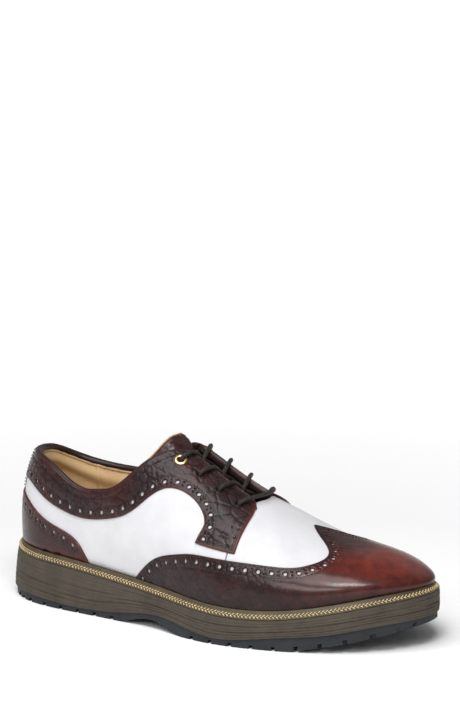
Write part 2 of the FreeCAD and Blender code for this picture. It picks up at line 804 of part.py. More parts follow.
def rounded_wire(points):
    """Straight runs joined by tangent arcs."""
    edges = []
    radii = []
    start = points[0]
    for i in range(1, len(points) - 1):
        here = points[i]
        back = points[i - 1] - here
        ahead = points[i + 1] - here
        run = min(back.Length, ahead.Length)
        back.normalize()
        ahead.normalize()
        turned = math.pi - math.acos(max(-1.0, min(1.0, back.dot(ahead))))
        radius = min(0.45 * run / math.tan(turned / 2), LARGEST_BEND)
        cut = radius * math.tan(turned / 2)
        first = here + back * cut
        second = here + ahead * cut
        towards = (back + ahead).normalize()
        middle = here + towards * (radius / math.cos(turned / 2) - radius)
        edges.append(Part.LineSegment(start, first).toShape())
        edges.append(Part.Arc(first, middle, second).toShape())
        radii.append(radius)
        start = second
    edges.append(Part.LineSegment(start, points[-1]).toShape())
    return Part.Wire(edges), radii


def shoelace():
    wire, radii = rounded_wire(lace_route())
    print("lace length %.0f, smallest radius %.1f" % (wire.Length, min(radii)))
    first = wire.Edges[0]
    direction = first.tangentAt(first.FirstParameter)
    circle = Part.Wire([Part.makeCircle(LACE_RADIUS, lace_route()[0], direction)])
    tube = wire.makePipeShell([circle], True, True)
    print("lace volume share %.3f" % (tube.Volume / (math.pi * LACE_RADIUS ** 2 * wire.Length)))
    return tube


def aglets():
    route = lace_route()
    pieces = []
    for end, before in ((route[0], route[1]), (route[-1], route[-2])):
        along = (end - before).normalize()
        pieces.append(Part.makeCylinder(AGLET_RADIUS, AGLET_LENGTH, end, along))
    return Part.makeCompound(pieces)


# ------------------------------------------------------------------ all nodes
def all_nodes():
    nodes = {
        "outsole": outsole,
        "midsole": midsole,
        "welt": welt,
        "welt_stitching": welt_stitching,
        "insole_board": insole_board,
        "bottom_filler": bottom_filler,
        "shank": shank,
        "footbed": footbed,
        "heel_pad": lambda: heel_pad_blank(0.0),
        "quarter_lateral": lambda: drill_holes(quarter(-1)),
        "quarter_medial": lambda: drill_holes(quarter(1)),
        "quarter_lining": lambda: drill_holes(quarter_lining()),
        "vamp": lambda: domed_piece(vamp_rear, lowest_edge, LEATHER),
        "vamp_interlining": lambda: domed_piece(lining_rear, lining_low, STIFFENER),
        "vamp_lining": lambda: domed_piece(lining_rear, lining_low, LINING),
        "wing_tip": lambda: domed_piece(wing_rear, wing_low, OVERLAY, 30, 24),
        "collar_facing_lateral": lambda: drill_holes(collar_facing(-1)),
        "collar_facing_medial": lambda: drill_holes(collar_facing(1)),
        "facing_stay_lateral": lambda: drill_holes(facing_stay(-1)),
        "facing_stay_medial": lambda: drill_holes(facing_stay(1)),
        "heel_foxing": heel_foxing,
        "backstay": backstay,
        "heel_counter": heel_counter,
        "collar_padding": collar_padding,
        "topline_binding": topline_binding,
        "tongue_outer": tongue_outer,
        "tongue_padding": tongue_padding,
        "tongue_lining": tongue_lining,
        "top_eyelets": top_eyelets,
        "blind_eyelets": blind_eyelets,
        "shoelace": shoelace,
        "aglets": aglets,
    }
    return nodes


def main():
    os.makedirs("parts", exist_ok=True)
    for name, make in all_nodes().items():
        shape = make()
        shape.translate(Vec(0, CENTRE_SHIFT_Y, 0))
        box = shape.BoundBox
        print("%-24s solids %3d valid %s vol %9.1f  x %.1f..%.1f y %.1f..%.1f z %.1f..%.1f" % (
            name, len(shape.Solids), shape.isValid(), shape.Volume,
            box.XMin, box.XMax, box.YMin, box.YMax, box.ZMin, box.ZMax))
        shape.exportStep("parts/%s.step" % name)


main()
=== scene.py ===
import math

import bpy
import numpy as np
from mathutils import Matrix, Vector, geometry, kdtree


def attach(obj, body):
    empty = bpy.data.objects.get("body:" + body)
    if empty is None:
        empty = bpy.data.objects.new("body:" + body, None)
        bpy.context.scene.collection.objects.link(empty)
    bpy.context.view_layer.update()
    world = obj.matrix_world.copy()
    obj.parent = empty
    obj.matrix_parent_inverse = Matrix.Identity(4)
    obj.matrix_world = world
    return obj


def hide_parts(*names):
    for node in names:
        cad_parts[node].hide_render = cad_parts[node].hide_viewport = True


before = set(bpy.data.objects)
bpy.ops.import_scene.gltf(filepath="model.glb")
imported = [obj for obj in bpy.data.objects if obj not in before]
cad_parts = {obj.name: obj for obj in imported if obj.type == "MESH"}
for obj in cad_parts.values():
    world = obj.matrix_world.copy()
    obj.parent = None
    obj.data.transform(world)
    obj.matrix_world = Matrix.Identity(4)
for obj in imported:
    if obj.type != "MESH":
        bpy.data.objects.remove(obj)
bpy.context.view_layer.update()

# Golf shoe.  The making works in millimetres in the part's own frame; place() turns them
# into the row frame's metres.  turn goes from the toe (-1) along the lateral side to the heel
# (0) and along the medial side back to the toe (1); height 0 is the feather line at the welt
# and 1 the ridge over the foot.
MM = 0.001
SHIFT_Y = 5.3
TURN_MM, HEIGHT_MM = 330, 95  # about how long one unit of turn and of height is


# ------------------------------------------------------------------ small helpers
def smooth(low, high, value):
    share = np.clip((np.asarray(value, float) - low) / (high - low), 0, 1)
    return share * share * (3 - 2 * share)


def quarter_round(distance, radius):
    """Profile of a rounded edge: 0 at the edge, 1 from radius inwards."""
    return np.sqrt(np.clip(1 - (1 - np.clip(distance / radius, 0, 1)) ** 2, 0, 1))


def bell(distance, width):
    return np.exp(-(distance / width) ** 2)


def together(*values):
    """The values side by side in a new last axis."""
    return np.stack(np.broadcast_arrays(*values), axis=-1)


def unit(vectors):
    return vectors / np.maximum(np.linalg.norm(vectors, axis=-1, keepdims=True), 1e-9)


def circle(sides):
    return np.linspace(0, 2 * math.pi, sides, endpoint=False)


def run_of(points, scale=1.0):
    """Length travelled at each point of a line."""
    return np.r_[0, np.cumsum(np.linalg.norm(np.diff(points, axis=0) * scale, axis=1))]


def at_run(at, run, values):
    """The values' columns at the lengths at, when known at the lengths run."""
    return np.stack([np.interp(at, run, column) for column in values.T], 1)


class Curve:
    """Natural cubic curve through (t, value) points, straight beyond its ends."""

    def __init__(self, points):
        self.t, self.v = np.array(points, float).T
        n = len(points)
        step = np.diff(self.t)
        matrix, right = np.eye(n), np.zeros(n)
        for i in range(1, n - 1):
            matrix[i, i - 1:i + 2] = step[i - 1], 2 * (step[i - 1] + step[i]), step[i]
            slopes = np.diff(self.v[i - 1:i + 2]) / step[i - 1:i + 1]
            right[i] = 6 * (slopes[1] - slopes[0])
        self.bend = np.linalg.solve(matrix, right)

    def __call__(self, t):
        t = np.asarray(t, float)
        i = np.clip(np.searchsorted(self.t, t) - 1, 0, len(self.t) - 2)
        step = self.t[i + 1] - self.t[i]
        b = np.clip((t - self.t[i]) / step, 0, 1)
        a = 1 - b
        low, high = self.v[i], self.v[i + 1]
        m0, m1 = self.bend[i], self.bend[i + 1]
        value = a * low + b * high + ((a ** 3 - a) * m0 + (b ** 3 - b) * m1) * step ** 2 / 6
        slope = (high - low) / step
        start = slope - step * (2 * m0 + m1) / 6
        end = slope + step * (2 * m1 + m0) / 6
        value = value + np.minimum(t - self.t[0], 0) * start
        return value + np.maximum(t - self.t[-1], 0) * end


# ------------------------------------------------------------------ the part's dimensions
HALF_LENGTH = 146.0
PLAN_LATERAL = [(-139, -18.5), (-120, -32), (-92, -38), (-50, -42), (-10, -49.5),
                (25, -57), (60, -54.5), (92, -46), (118, -33), (137, -16)]
PLAN_MEDIAL = [(-139, 19), (-120, 31), (-92, 34), (-50, 30), (-10, 29.5),
               (30, 37), (62, 45), (92, 46), (118, 38), (137, 22)]
TOE_TIP_Y = 4.0
feather = Curve([(-150, 36.4), (-120, 35), (-90, 33.5), (-50, 29.8), (-10, 26.4), (30, 22.9),
                 (70, 23.5), (105, 29.2), (130, 34.5), (150, 38.2)])
rubber_top = Curve([(-150, 5.4), (-120, 5.3), (-90, 3.9), (-50, 5.3), (-10, 9.8), (30, 4.2),
                    (70, 8), (105, 12.3), (130, 17.3), (150, 20)])
ridge = Curve([(-146, 112), (-112, 116), (-90, 119), (-50, 120), (-17, 111), (10, 96), (32, 84),
               (54, 74), (72, 65.5), (90, 59), (106, 55.5), (126, 52), (146, 47)])
ridge_y = Curve([(-146, 0), (-90, -1), (-40, -2), (0, -3), (54, -1), (100, 4), (146, 5)])
width_power = Curve([(-146, 2.15), (-90, 2.4), (0, 2.3), (146, 2.3)])
height_power = Curve([(-146, 2.4), (-90, 2.4), (-40, 2.1), (0, 1.95), (60, 2.0), (146, 2.3)])
side_bulge = Curve([(-146, 1.2), (-100, 2.6), (-40, 2.5), (0, 2.5), (60, 3.5), (100, 4.5),
                    (146, 6)])
RIDGE_ENDS = (-112.0, 108.0)
RIDGE_END_BLEND = 9.0
WELT_THICKNESS = 4.0
TOPLINE_LATERAL = [(0, 0.572), (0.06, 0.572), (0.12, 0.556), (0.18, 0.525), (0.24, 0.454),
                   (0.284, 0.373), (0.323, 0.342), (0.349, 0.359), (0.377, 0.402),
                   (0.399, 0.493), (0.413, 0.574), (0.424, 0.645), (0.441, 0.751),
                   (0.454, 0.847), (0.470, 0.890), (0.501, 0.897), (0.532, 0.899),
                   (0.562, 0.895), (0.577, 0.872), (0.589, 0.79)]
topline_lateral = Curve(TOPLINE_LATERAL)
topline_medial = Curve([(0, 0.572), (0.06, 0.556), (0.11, 0.515), (0.185, 0.426), (0.243, 0.371),
                        (0.296, 0.351), (0.323, 0.355), (0.349, 0.372), (0.377, 0.415),
                        (0.399, 0.498)] + TOPLINE_LATERAL[10:])
COLLAR_EDGE = [(0, 0.34), (0.10, 0.338), (0.161, 0.322), (0.2325, 0.237), (0.2737, 0.199),
               (0.3213, 0.185), (0.365, 0.217), (0.3987, 0.272), (0.4187, 0.335), (0.4375, 0.42),
               (0.4537, 0.493), (0.4712, 0.548), (0.49, 0.576), (0.510, 0.576), (0.5255, 0.54),
               (0.5325, 0.49), (0.530, 0.41), (0.5262, 0.342)]
COLLAR_FRONT_FOOT = (0.5875, 0.396)
TAB_OUTLINE = [(0.589, 0.402), (0.589, 0.55), (0.589, 0.70), (0.5865, 0.80), (0.5785, 0.868),
               (0.566, 0.893)]
CURL = [(0.508, 0.66), (0.528, 0.63), (0.541, 0.575), (0.5435, 0.515), (0.552, 0.497),
        (0.566, 0.50), (0.5745, 0.49), (0.5765, 0.455)]
BAR_TACK = [(0.5605, 0.470), (0.5735, 0.476)]
FOXING_EDGE = [(0, 0.262), (0.08, 0.25), (0.155, 0.212), (0.205, 0.158), (0.25, 0.118),
               (0.29, 0.092), (0.311, 0.062), (0.322, 0.03), (0.331, 0.004)]
wing_edge = Curve([(0, -36.5), (0.08, -27), (0.15, -16.5), (0.22, -1), (0.29, 17), (0.35, 42),
                   (0.42, 70), (0.5, 83.5), (0.62, 91), (0.72, 91), (0.81, 86.5), (0.93, 75.5),
                   (1, 69)])
QUARTER_FRONT_X = 35.0
EYELET_TURNS = (0.468, 0.500, 0.532, 0.564)
EYELET_HEIGHT = 0.757
LACE_RADIUS = 1.3
# depths from the white leather's outer face
WHITE_UNDER = -1.2
OVERLAY_TOP, OVERLAY_UNDER = 1.35, -0.05
LINING_OUTER, LINING_INNER = -2.6, -3.4
BINDING_DROP = 2.8
COLLAR_RISE = 1.8
ROLL_RISE = 1.15
LINING_SEAM = 0.2275
TONGUE_FRONT_X, TONGUE_END_X = 56.0, -29.0
TONGUE_SWEEP = 11.0
TONGUE_LENGTH, TONGUE_WIDTH = 85, 46
BROGUE_PITCH, BROGUE_INSET = 8.6, 4.5
BIG_HOLE, SMALL_HOLE, PAIR_OFFSET = 1.3, 0.45, 1.25
STITCH_PITCH, STITCH_RADIUS = 2.3, 0.24
SEAM_STEP = 0.6
# how a pattern piece's points lie: rows inside its edge and beside its seams, even cells between
EDGE_ROWS, SEAM_ROWS = (0.3, 0.75), (-0.45, 0, 0.45)
EDGE_ROOM, SEAM_ROOM, HOLE_ROOM = 0.95, 0.4, 0.3
CELL_TALL = 0.87
FAR = 9.0  # stands for any distance too long to matter
# how it is shaped: share of its thickness left at the edge, dips in mm at seams and holes
EDGE_SHARE, SEAM_DIP, HOLE_DIP = 0.42, 0.20, 0.16
CREASE_SHARE, CELL_WIDE = 0.19, 1.35


# ------------------------------------------------------------------ the shoe's own surface
def turn_at(x):
    return np.arccos(np.clip(-np.asarray(x, float) / HALF_LENGTH, -1, 1)) / math.pi


def closed_plan():
    points = [(-float(turn_at(x)), y) for x, y in reversed(PLAN_LATERAL)] + [(0.0, 0.0)]
    points += [(float(turn_at(x)), y) for x, y in PLAN_MEDIAL] + [(1.0, TOE_TIP_Y)]
    before = [(t - 2, y) for t, y in points[-6:]]
    after = [(t + 2, y) for t, y in points[:6]]
    return Curve(before + points + after)


plan_y = closed_plan()


def plan(turn):
    turn = (np.asarray(turn, float) + 1) % 2 - 1
    return -HALF_LENGTH * np.cos(math.pi * turn), plan_y(turn)


def reached_plan(turn, reach):
    """Plan point moved outwards by reach."""
    step = 1e-3
    ax, ay = plan(turn - step)
    bx, by = plan(turn + step)
    length = np.hypot(bx - ax, by - ay)
    x, y = plan(turn)
    return x - (by - ay) / length * reach, y + (bx - ax) / length * reach


def ridge_foot(x):
    front = RIDGE_END_BLEND * np.logaddexp(0, (x - RIDGE_ENDS[1]) / RIDGE_END_BLEND)
    back = RIDGE_END_BLEND * np.logaddexp(0, (RIDGE_ENDS[0] - x) / RIDGE_END_BLEND)
    return x - front + back


def skin(turn, height):
    """Point of the white leather's outer face."""
    turn, height = np.broadcast_arrays(np.asarray(turn, float), np.asarray(height, float))
    foot_x, foot_y = plan(turn)
    top_x = ridge_foot(foot_x)
    top_y = ridge_y(top_x)
    angle = height * math.pi / 2
    cosine = np.clip(np.cos(angle), 0, None)
    reach = cosine ** (2 / width_power(foot_x))
    climb = np.clip(np.sin(angle), 0, None) ** (2 / height_power(foot_x))
    half_width = np.hypot(foot_x - top_x, foot_y - top_y)
    reach = reach + 1.3 * side_bulge(foot_x) / half_width * np.sin(2 * angle) * cosine ** 2
    x = top_x + (foot_x - top_x) * reach
    y = top_y + (foot_y - top_y) * reach
    low = feather(foot_x)
    return together(x, y, low + (ridge(x) - low) * climb)


def slopes(turn, height):
    """Derivatives of skin along turn and height."""
    step = 1e-3
    base = np.clip(height - step, 0, 1 - 2 * step)
    along = (skin(turn + step, height) - skin(turn - step, height)) / (2 * step)
    climb = (skin(turn, base + 2 * step) - skin(turn, base)) / (2 * step)
    return along, climb


def normal(turn, height):
    turn, height = np.broadcast_arrays(np.asarray(turn, float), np.asarray(height, float))
    along, climb = slopes(turn, height)
    out = unit(np.cross(climb, along))
    x = skin(turn, 1.0)[..., 0]
    top = unit(together(ridge(x - 0.5) - ridge(x + 0.5), 0.0, 1.0))
    return np.where((height > 0.998)[..., None], top, out)


def layer(turn, height, depth):
    return skin(turn, height) + normal(turn, height) * np.asarray(depth, float)[..., None]


def climb_rate(turn, height):
    step = 2e-3
    move = skin(turn, height + step) - skin(turn, height - step)
    return np.linalg.norm(move, axis=-1) / (2 * step)


def stack_top(turn):
    """Height of the cut edge of quarters and lining, which drops under the collar's roll."""
    turn = np.asarray(turn, float)
    away = np.abs(turn)
    top = np.where(turn < 0, topline_lateral(away), topline_medial(away))
    return top - (1 - smooth(0.455, 0.475, away)) * BINDING_DROP / climb_rate(turn, top)


def collar_top(turn):
    """Top edge of the collar's brown leather, which rises beside the topline's roll."""
    top = stack_top(turn)
    return top + COLLAR_RISE * (1 - smooth(0.43, 0.465, np.abs(turn))) / climb_rate(turn, top)


def collar_swell(turn, height):
    """Extra depth of the padded collar band behind the lining."""
    band = 0.16
    share = np.clip((height - stack_top(turn) + band) / band, 0, 1)
    fade = 1 - smooth(0.34, 0.43, np.abs(turn))
    return 2.6 * np.sin(math.pi * share) ** 2 * fade


def lowest_edge(turn, rise=0.3):
    foot_x, _ = plan(turn)
    climb = rise / (ridge(foot_x) - feather(foot_x))
    return np.arcsin(climb ** (height_power(foot_x) / 2)) * 2 / math.pi


def nudge(turn, height, move):
    """Turn and height after a small move (mm vectors) along the surface."""
    along, climb = slopes(turn, height)
    a = (along * along).sum(-1)
    b = (along * climb).sum(-1)
    c = (climb * climb).sum(-1)
    p = (along * move).sum(-1)
    q = (climb * move).sum(-1)
    det = a * c - b * b
    new_turn = turn + (c * p - b * q) / det
    new_height = height + (a * q - b * p) / det
    over = new_height > 1
    return np.where(over, -new_turn, new_turn), np.where(over, 2 - new_height, new_height)


def smooth_path(points, count):
    """A smooth (turn, height) path through the points."""
    points = np.array(points, float)
    run = run_of(points, (TURN_MM, HEIGHT_MM))
    at = np.linspace(0, run[-1], count)
    return together(*(Curve(together(run, column))(at) for column in points.T))


def resample(path, pitch):
    """The (turn, height) path at even steps along the leather."""
    run = run_of(skin(*path.T))
    count = max(int(round(run[-1] / pitch)), 2)
    return at_run(np.linspace(0, run[-1], count + 1), run, path)


def shifted(path, distance):
    """The path moved sideways along the leather, to the left of its direction."""
    run = unit(np.gradient(skin(*path.T), axis=0))
    side = unit(np.cross(normal(*path.T), run))
    return together(*nudge(*path.T, side * distance))


def mirrored(half):
    """The whole path from its medial half, which starts at the heel: lateral end first."""
    return np.vstack([(half * (-1, 1))[::-1], half[1:]])


# flat layouts in which the pattern pieces are cut --------------------------------------
TURNS = np.linspace(-1, 1, 401)
GIRTH = np.linalg.norm(np.diff(skin(TURNS[:, None], np.linspace(0, 1, 33)), axis=1), axis=2).sum(1)
AROUND = run_of(skin(TURNS, 0.4))
AROUND -= np.interp(0, TURNS, AROUND)


def flat_side(turn, height):
    """For pieces round the heel and sides."""
    return together(np.interp(turn, TURNS, AROUND), height * HEIGHT_MM)


def flat_front(turn, height):
    """For pieces that cross the ridge of the forefoot."""
    foot_x, foot_y = plan(turn)
    top_x = ridge_foot(foot_x)
    away = together(foot_x - top_x, foot_y - ridge_y(top_x))
    girth = np.interp((np.asarray(turn) + 1) % 2 - 1, TURNS, GIRTH)
    return unit(away) * ((1 - height) * girth)[..., None] + together(top_x, 0.0)


def inside(points, ring):
    x, y = points.T
    found = np.zeros(len(points), bool)
    for (ax, ay), (bx, by) in zip(ring, np.roll(ring, -1, axis=0)):
        if ay != by:
            found ^= ((ay > y) != (by > y)) & (x < (bx - ax) * (y - ay) / (by - ay) + ax)
    return found


def within(line, outline, flat):
    return line[inside(flat(*line.T), flat(*outline.T))]


def tree_of(points):
    tree = kdtree.KDTree(len(points))
    for i, (x, y) in enumerate(points):
        tree.insert((x, y, 0), i)
    tree.balance()
    return tree


def nearest(points, targets):
    """Distances to the nearest targets, in the flat layout."""
    tree = tree_of(targets)
    return np.array([tree.find_n((x, y, 0), 1)[0][2] for x, y in points])


# ------------------------------------------------------------------ meshes
def place(points):
    return (np.asarray(points, float).reshape(-1, 3) + (0, SHIFT_Y, 0)) * MM


def new_object(name, data):
    obj = bpy.data.objects.new(name, data)
    bpy.context.collection.objects.link(obj)
    return obj


def add_mesh(name, points, faces, material, marks=None):
    mesh = bpy.data.meshes.new(name)
    mesh.from_pydata(place(points).tolist(), [], faces)
    mesh.polygons.foreach_set("use_smooth", [True] * len(mesh.polygons))
    for mark, values in (marks or {}).items():
        attribute = mesh.attributes.new(mark, "FLOAT", "POINT")
        attribute.data.foreach_set("value", np.asarray(values, np.float32).ravel())
    mesh.materials.append(material)
    mesh.validate()
    return new_object(name, mesh)


def adopt(obj, body, slot, *nodes):
    """obj rides on a body and hides the imported nodes that it stands for; slot is not used."""
    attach(obj, body)
    if nodes:
        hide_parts(*nodes)
    return obj


def quads(rows, columns, wrap_rows=False, wrap_columns=False, flip=False, start=0):
    """Quads over a grid of vertices numbered row by row."""
    i, j = np.meshgrid(np.arange(rows - (not wrap_rows)), np.arange(columns - (not wrap_columns)),
                       indexing="ij")
    a, b = i * columns + j, ((i + 1) % rows) * columns + j
    c, d = ((i + 1) % rows) * columns + (j + 1) % columns, i * columns + (j + 1) % columns
    return (together(*((a, b, c, d) if flip else (a, d, c, b))).reshape(-1, 4) + start).tolist()


def sheet(name, outer, inner, material, marks=None, flip=False):
    """Closed sheet between two grids of points (rows x columns x 3)."""
    rows, columns = outer.shape[:2]
    count = rows * columns
    faces = quads(rows, columns, flip=flip) + quads(rows, columns, flip=not flip, start=count)
    index = np.arange(count).reshape(rows, columns)
    rim = np.concatenate([index[0, :-1], index[:-1, -1], index[-1, :0:-1], index[:0:-1, 0]])
    ring = np.roll(rim, -1)
    walls = together(rim, ring, ring + count, rim + count)
    if not flip:
        walls = walls[:, ::-1]
    points = np.concatenate([outer.reshape(-1, 3), inner.reshape(-1, 3)])
    doubled = {mark: np.tile(values, 2) for mark, values in (marks or {}).items()}
    return add_mesh(name, points, faces + walls.tolist(), material, doubled)


def sweep(name, rings, material, closed=False, flip=False):
    """Run of closed sections (stations x points x 3): a loop, or a rod with capped ends."""
    stations, section = rings.shape[:2]
    faces = quads(stations, section, closed, True, flip)
    if not closed:
        first = list(range(section))
        last = list(range((stations - 1) * section, stations * section))
        faces += [first[::-1], last] if flip else [first, last[::-1]]
    return add_mesh(name, rings.reshape(-1, 3), faces, material)


def tube_rings(points, radius, sides):
    """Sections round a line of points; radius may be an array (stations x sides)."""
    run = unit(np.gradient(points, axis=0))
    side = np.cross(run[0], (0.3, 0.1, 1.0))
    frames = []
    for direction in run:
        side = side - direction * side.dot(direction)
        side = side / np.linalg.norm(side)
        frames.append((side, np.cross(direction, side)))
    a, b = np.array(frames).transpose(1, 0, 2)[:, :, None]
    angle = circle(sides)[None, :, None]
    radius = np.broadcast_to(radius, (len(points), sides))[..., None]
    return points[:, None] + (a * np.cos(angle) + b * np.sin(angle)) * radius


# a thread's stations along its length and how wide it is at each
CAPSULE_S = np.array([-0.5, -0.47, -0.36, 0.0, 0.36, 0.47, 0.5])
CAPSULE_R = np.array([0.25, 0.62, 0.92, 1.0, 0.92, 0.62, 0.25])
THREAD_SIDES = 6


def threads(starts, ends, outs, radius):
    """Vertices and faces of one short arched thread per start and end."""
    run = ends - starts
    length = np.linalg.norm(run, axis=1)[:, None]
    along = run / length
    side = unit(np.cross(outs, along))
    out = np.cross(along, side)
    along, side, out, middle = (v[:, None, None] for v in (along, side, out, (starts + ends) / 2))
    angle = circle(THREAD_SIDES)[None, None, :, None]
    s, arch, thick = (v[None, :, None, None] for v in
                      (CAPSULE_S, -2 * radius * CAPSULE_S ** 2, radius * CAPSULE_R))
    centre = middle + along * s * length[:, :, None, None] + out * arch
    rings = centre + (side * np.cos(angle) + out * np.sin(angle)) * thick
    per = len(CAPSULE_S) * THREAD_SIDES
    bases = per * np.arange(len(rings))
    one = np.array(quads(len(CAPSULE_S), THREAD_SIDES, False, True))
    faces = (one[None] + bases[:, None, None]).reshape(-1, 4).tolist()
    for base in bases.tolist():
        faces.append([base + i for i in range(THREAD_SIDES)])
        faces.append([base + per - 1 - i for i in range(THREAD_SIDES)])
    return rings.reshape(-1, 3), faces


def stitches(line, outs, radius=STITCH_RADIUS, margin=0.13, longest=math.inf):
    """One thread between each two points of a line that are not too far apart."""
    run = line[1:] - line[:-1]
    good = np.linalg.norm(run, axis=1) < longest
    starts, ends = line[:-1] + run * margin, line[1:] - run * margin
    return threads(starts[good], ends[good], outs[:-1][good], radius)


def sewn_row(path, depth, pitch=STITCH_PITCH, radius=STITCH_RADIUS, side=1):
    """Stitches along a path on the leather, or (side -1) on the padded lining."""
    line = resample(path, pitch)
    if side < 0:
        depth = depth - collar_swell(*line.T)
    return stitches(layer(*line.T, depth), side * normal(*line.T), radius, longest=2 * pitch)


def joined(name, parts, material):
    """One mesh object from several (vertices, faces)."""
    points, faces, start = [], [], 0
    for vertices, polygons in parts:
        points.append(vertices)
        faces += [[i + start for i in polygon] for polygon in polygons]
        start += len(vertices)
    return add_mesh(name, np.concatenate(points), faces, material)


def lathe(centre, axis, profile, sides):
    """Vertices and faces of a closed (radius, height) profile turned round an axis."""
    axis = axis / np.linalg.norm(axis)
    side = np.cross(axis, (1.0, 0.2, 0.1))
    side = side / np.linalg.norm(side)
    angle = circle(sides)[:, None, None]
    radius, rise = np.array(profile, float).T[:, None, :, None]
    around = side * np.cos(angle) + np.cross(axis, side) * np.sin(angle)
    points = centre + around * radius + axis * rise
    return points.reshape(-1, 3), quads(sides, len(profile), True, True, True)


# ------------------------------------------------------------------ materials
class Shader:
    """A Principled material with small helpers for its nodes; object space, in metres."""

    def __init__(self, name, roughness, **sockets):
        self.material = bpy.data.materials.new(name)
        self.material.use_nodes = True
        self.tree = self.material.node_tree
        self.bsdf = self.tree.nodes["Principled BSDF"]
        self.principled(Roughness=roughness, **sockets)
        self.space = self.node("TexCoord").outputs["Object"]

    def fill(self, node, sockets):
        for name, value in sockets.items():
            socket = node.inputs[name.replace("_", " ")]
            if isinstance(value, (int, float)):
                socket.default_value = value
            elif isinstance(value, tuple):
                socket.default_value = (value + (1.0,))[:len(socket.default_value)]
            else:
                self.tree.links.new(value, socket)

    def principled(self, **sockets):
        self.fill(self.bsdf, sockets)

    def node(self, kind, settings=(), **sockets):
        node = self.tree.nodes.new("ShaderNode" + kind)
        for name, value in settings:
            setattr(node, name, value)
        self.fill(node, sockets)
        return node

    def noise(self, scale, detail=3.0, roughness=0.55, stretch=None):
        space = self.space
        if stretch:
            space = self.node("Mapping", Scale=stretch, Vector=space).outputs["Vector"]
        return self.node("TexNoise", Scale=scale, Detail=detail, Roughness=roughness,
                         Vector=space).outputs["Fac"]

    def cells(self, scale):
        return self.node("TexVoronoi", [("feature", "DISTANCE_TO_EDGE")], Scale=scale,
                         Vector=self.space).outputs["Distance"]

    def mark(self, name):
        return self.node("Attribute", [("attribute_name", name)]).outputs["Fac"]

    def math(self, operation, a, b):
        node = self.node("Math", [("operation", operation)])
        for socket, value in zip(node.inputs, (a, b)):
            if isinstance(value, float):
                socket.default_value = value
            else:
                self.tree.links.new(value, socket)
        return node.outputs[0]

    def span(self, value, low, high, to_low=0.0, to_high=1.0):
        return self.node("MapRange", Value=value, From_Min=low, From_Max=high, To_Min=to_low,
                         To_Max=to_high).outputs["Result"]

    def mix(self, share, a, b):
        return self.node("Mix", [("data_type", "RGBA")], Factor=share, A=a, B=b).outputs["Result"]

    def mottled(self, scale, detail, low, high):
        return self.mix(self.span(self.noise(scale, detail), 0.3, 0.7), low, high)

    def rough(self, scale, detail, low, high):
        self.principled(Roughness=self.span(self.noise(scale, detail), 0.3, 0.7, low, high))

    def bump(self, *heights):
        """Adds fine relief, each a (height, strength, distance in mm); gives the material."""
        last = {}
        for height, strength, distance in heights:
            node = self.node("Bump", Strength=strength, Distance=distance * MM, Height=height,
                             **last)
            last = {"Normal": node.outputs["Normal"]}
        self.principled(**last)
        return self.material


def white_leather():
    s = Shader("white_leather", 0.5, Specular_IOR_Level=0.25)
    broad = s.noise(60, 3)
    blotch = s.span(broad, 0.3, 0.7)
    s.principled(Base_Color=s.mix(blotch, (0.60, 0.60, 0.622), (0.66, 0.66, 0.68)))
    s.rough(900, 2, 0.40, 0.56)
    return s.bump((s.cells(620), 0.7, 0.22), (s.noise(1500, 2), 0.3, 0.08), (broad, 0.3, 0.5))


def brown_leather():
    """Polished croc-embossed leather.

    Its marks are tone (burnish, with painted shade and painted highlight in it on some pieces),
    crease (also darkened in colour as painted shade), emboss (grain) and shade (of each embossed
    cell)."""
    s = Shader("brown_leather", 0.3, Specular_IOR_Level=0.20, Coat_Roughness=0.17)
    tone, crease, emboss, shade = map(s.mark, ("tone", "crease", "emboss", "shade"))
    mottle = s.span(s.noise(140, 4), 0.35, 0.65)
    dark = s.mix(mottle, (0.009, 0.0038, 0.0038), (0.026, 0.0090, 0.0080))
    warm = s.mix(mottle, (0.105, 0.0100, 0.0060), (0.18, 0.022, 0.009))
    dark = s.mix(s.math("MULTIPLY", shade, 0.75), dark, (0.030, 0.019, 0.022))
    # tone: burnish towards the toe, with the painted shade and painted highlight that some pieces
    # put in it
    base = s.mix(tone, dark, warm)
    streak = s.span(s.noise(260, 5, 0.7, (0.35, 1.0, 1.0)), 0.58, 0.72, 0.0, 0.35)
    streak = s.math("MULTIPLY", streak, s.math("SUBTRACT", 1.0, tone))
    base = s.mix(streak, base, (0.070, 0.034, 0.030))
    # painted shade: the creases of the embossing are darkened in colour
    base = s.mix(s.math("MULTIPLY", crease, 0.9), base, (0.006, 0.003, 0.003))
    s.principled(Base_Color=base, Coat_Weight=s.span(tone, 0.05, 0.40, 0.22, 0.50))
    s.rough(500, 3, 0.24, 0.42)
    wrinkle = s.math("MULTIPLY", s.span(s.cells(520), 0.0, 0.12), emboss)
    return s.bump((wrinkle, 0.55, 0.10), (s.noise(1400, 3), 0.22, 0.05),
                  (s.noise(220, 3), 0.2, 0.18))


def plain_leather(name, low, high, roughness=0.5, grain=800, depth=0.06, coat=0.0):
    s = Shader(name, roughness, Specular_IOR_Level=0.35, Coat_Weight=coat, Coat_Roughness=0.3)
    s.principled(Base_Color=s.mottled(110, 4, low, high))
    s.rough(700, 2, roughness - 0.07, roughness + 0.09)
    return s.bump((s.cells(grain), 0.4, depth), (s.noise(1600, 2), 0.2, 0.04))


def moulded(name, low, high, roughness=0.7, speck=1300, strength=0.35):
    s = Shader(name, roughness, Specular_IOR_Level=0.35)
    s.principled(Base_Color=s.mottled(70, 4, low, high))
    s.rough(500, 3, roughness - 0.1, min(roughness + 0.1, 1))
    return s.bump((s.noise(speck, 3), strength, 0.08), (s.noise(240, 2), 0.2, 0.12))


def thread_material(name, low, high):
    s = Shader(name, 0.62, Specular_IOR_Level=0.3, Sheen_Weight=0.05)
    s.principled(Base_Color=s.mottled(420, 3, low, high))
    return s.bump((s.noise(2600, 3, 0.6, (0.3, 1, 1)), 0.6, 0.08))


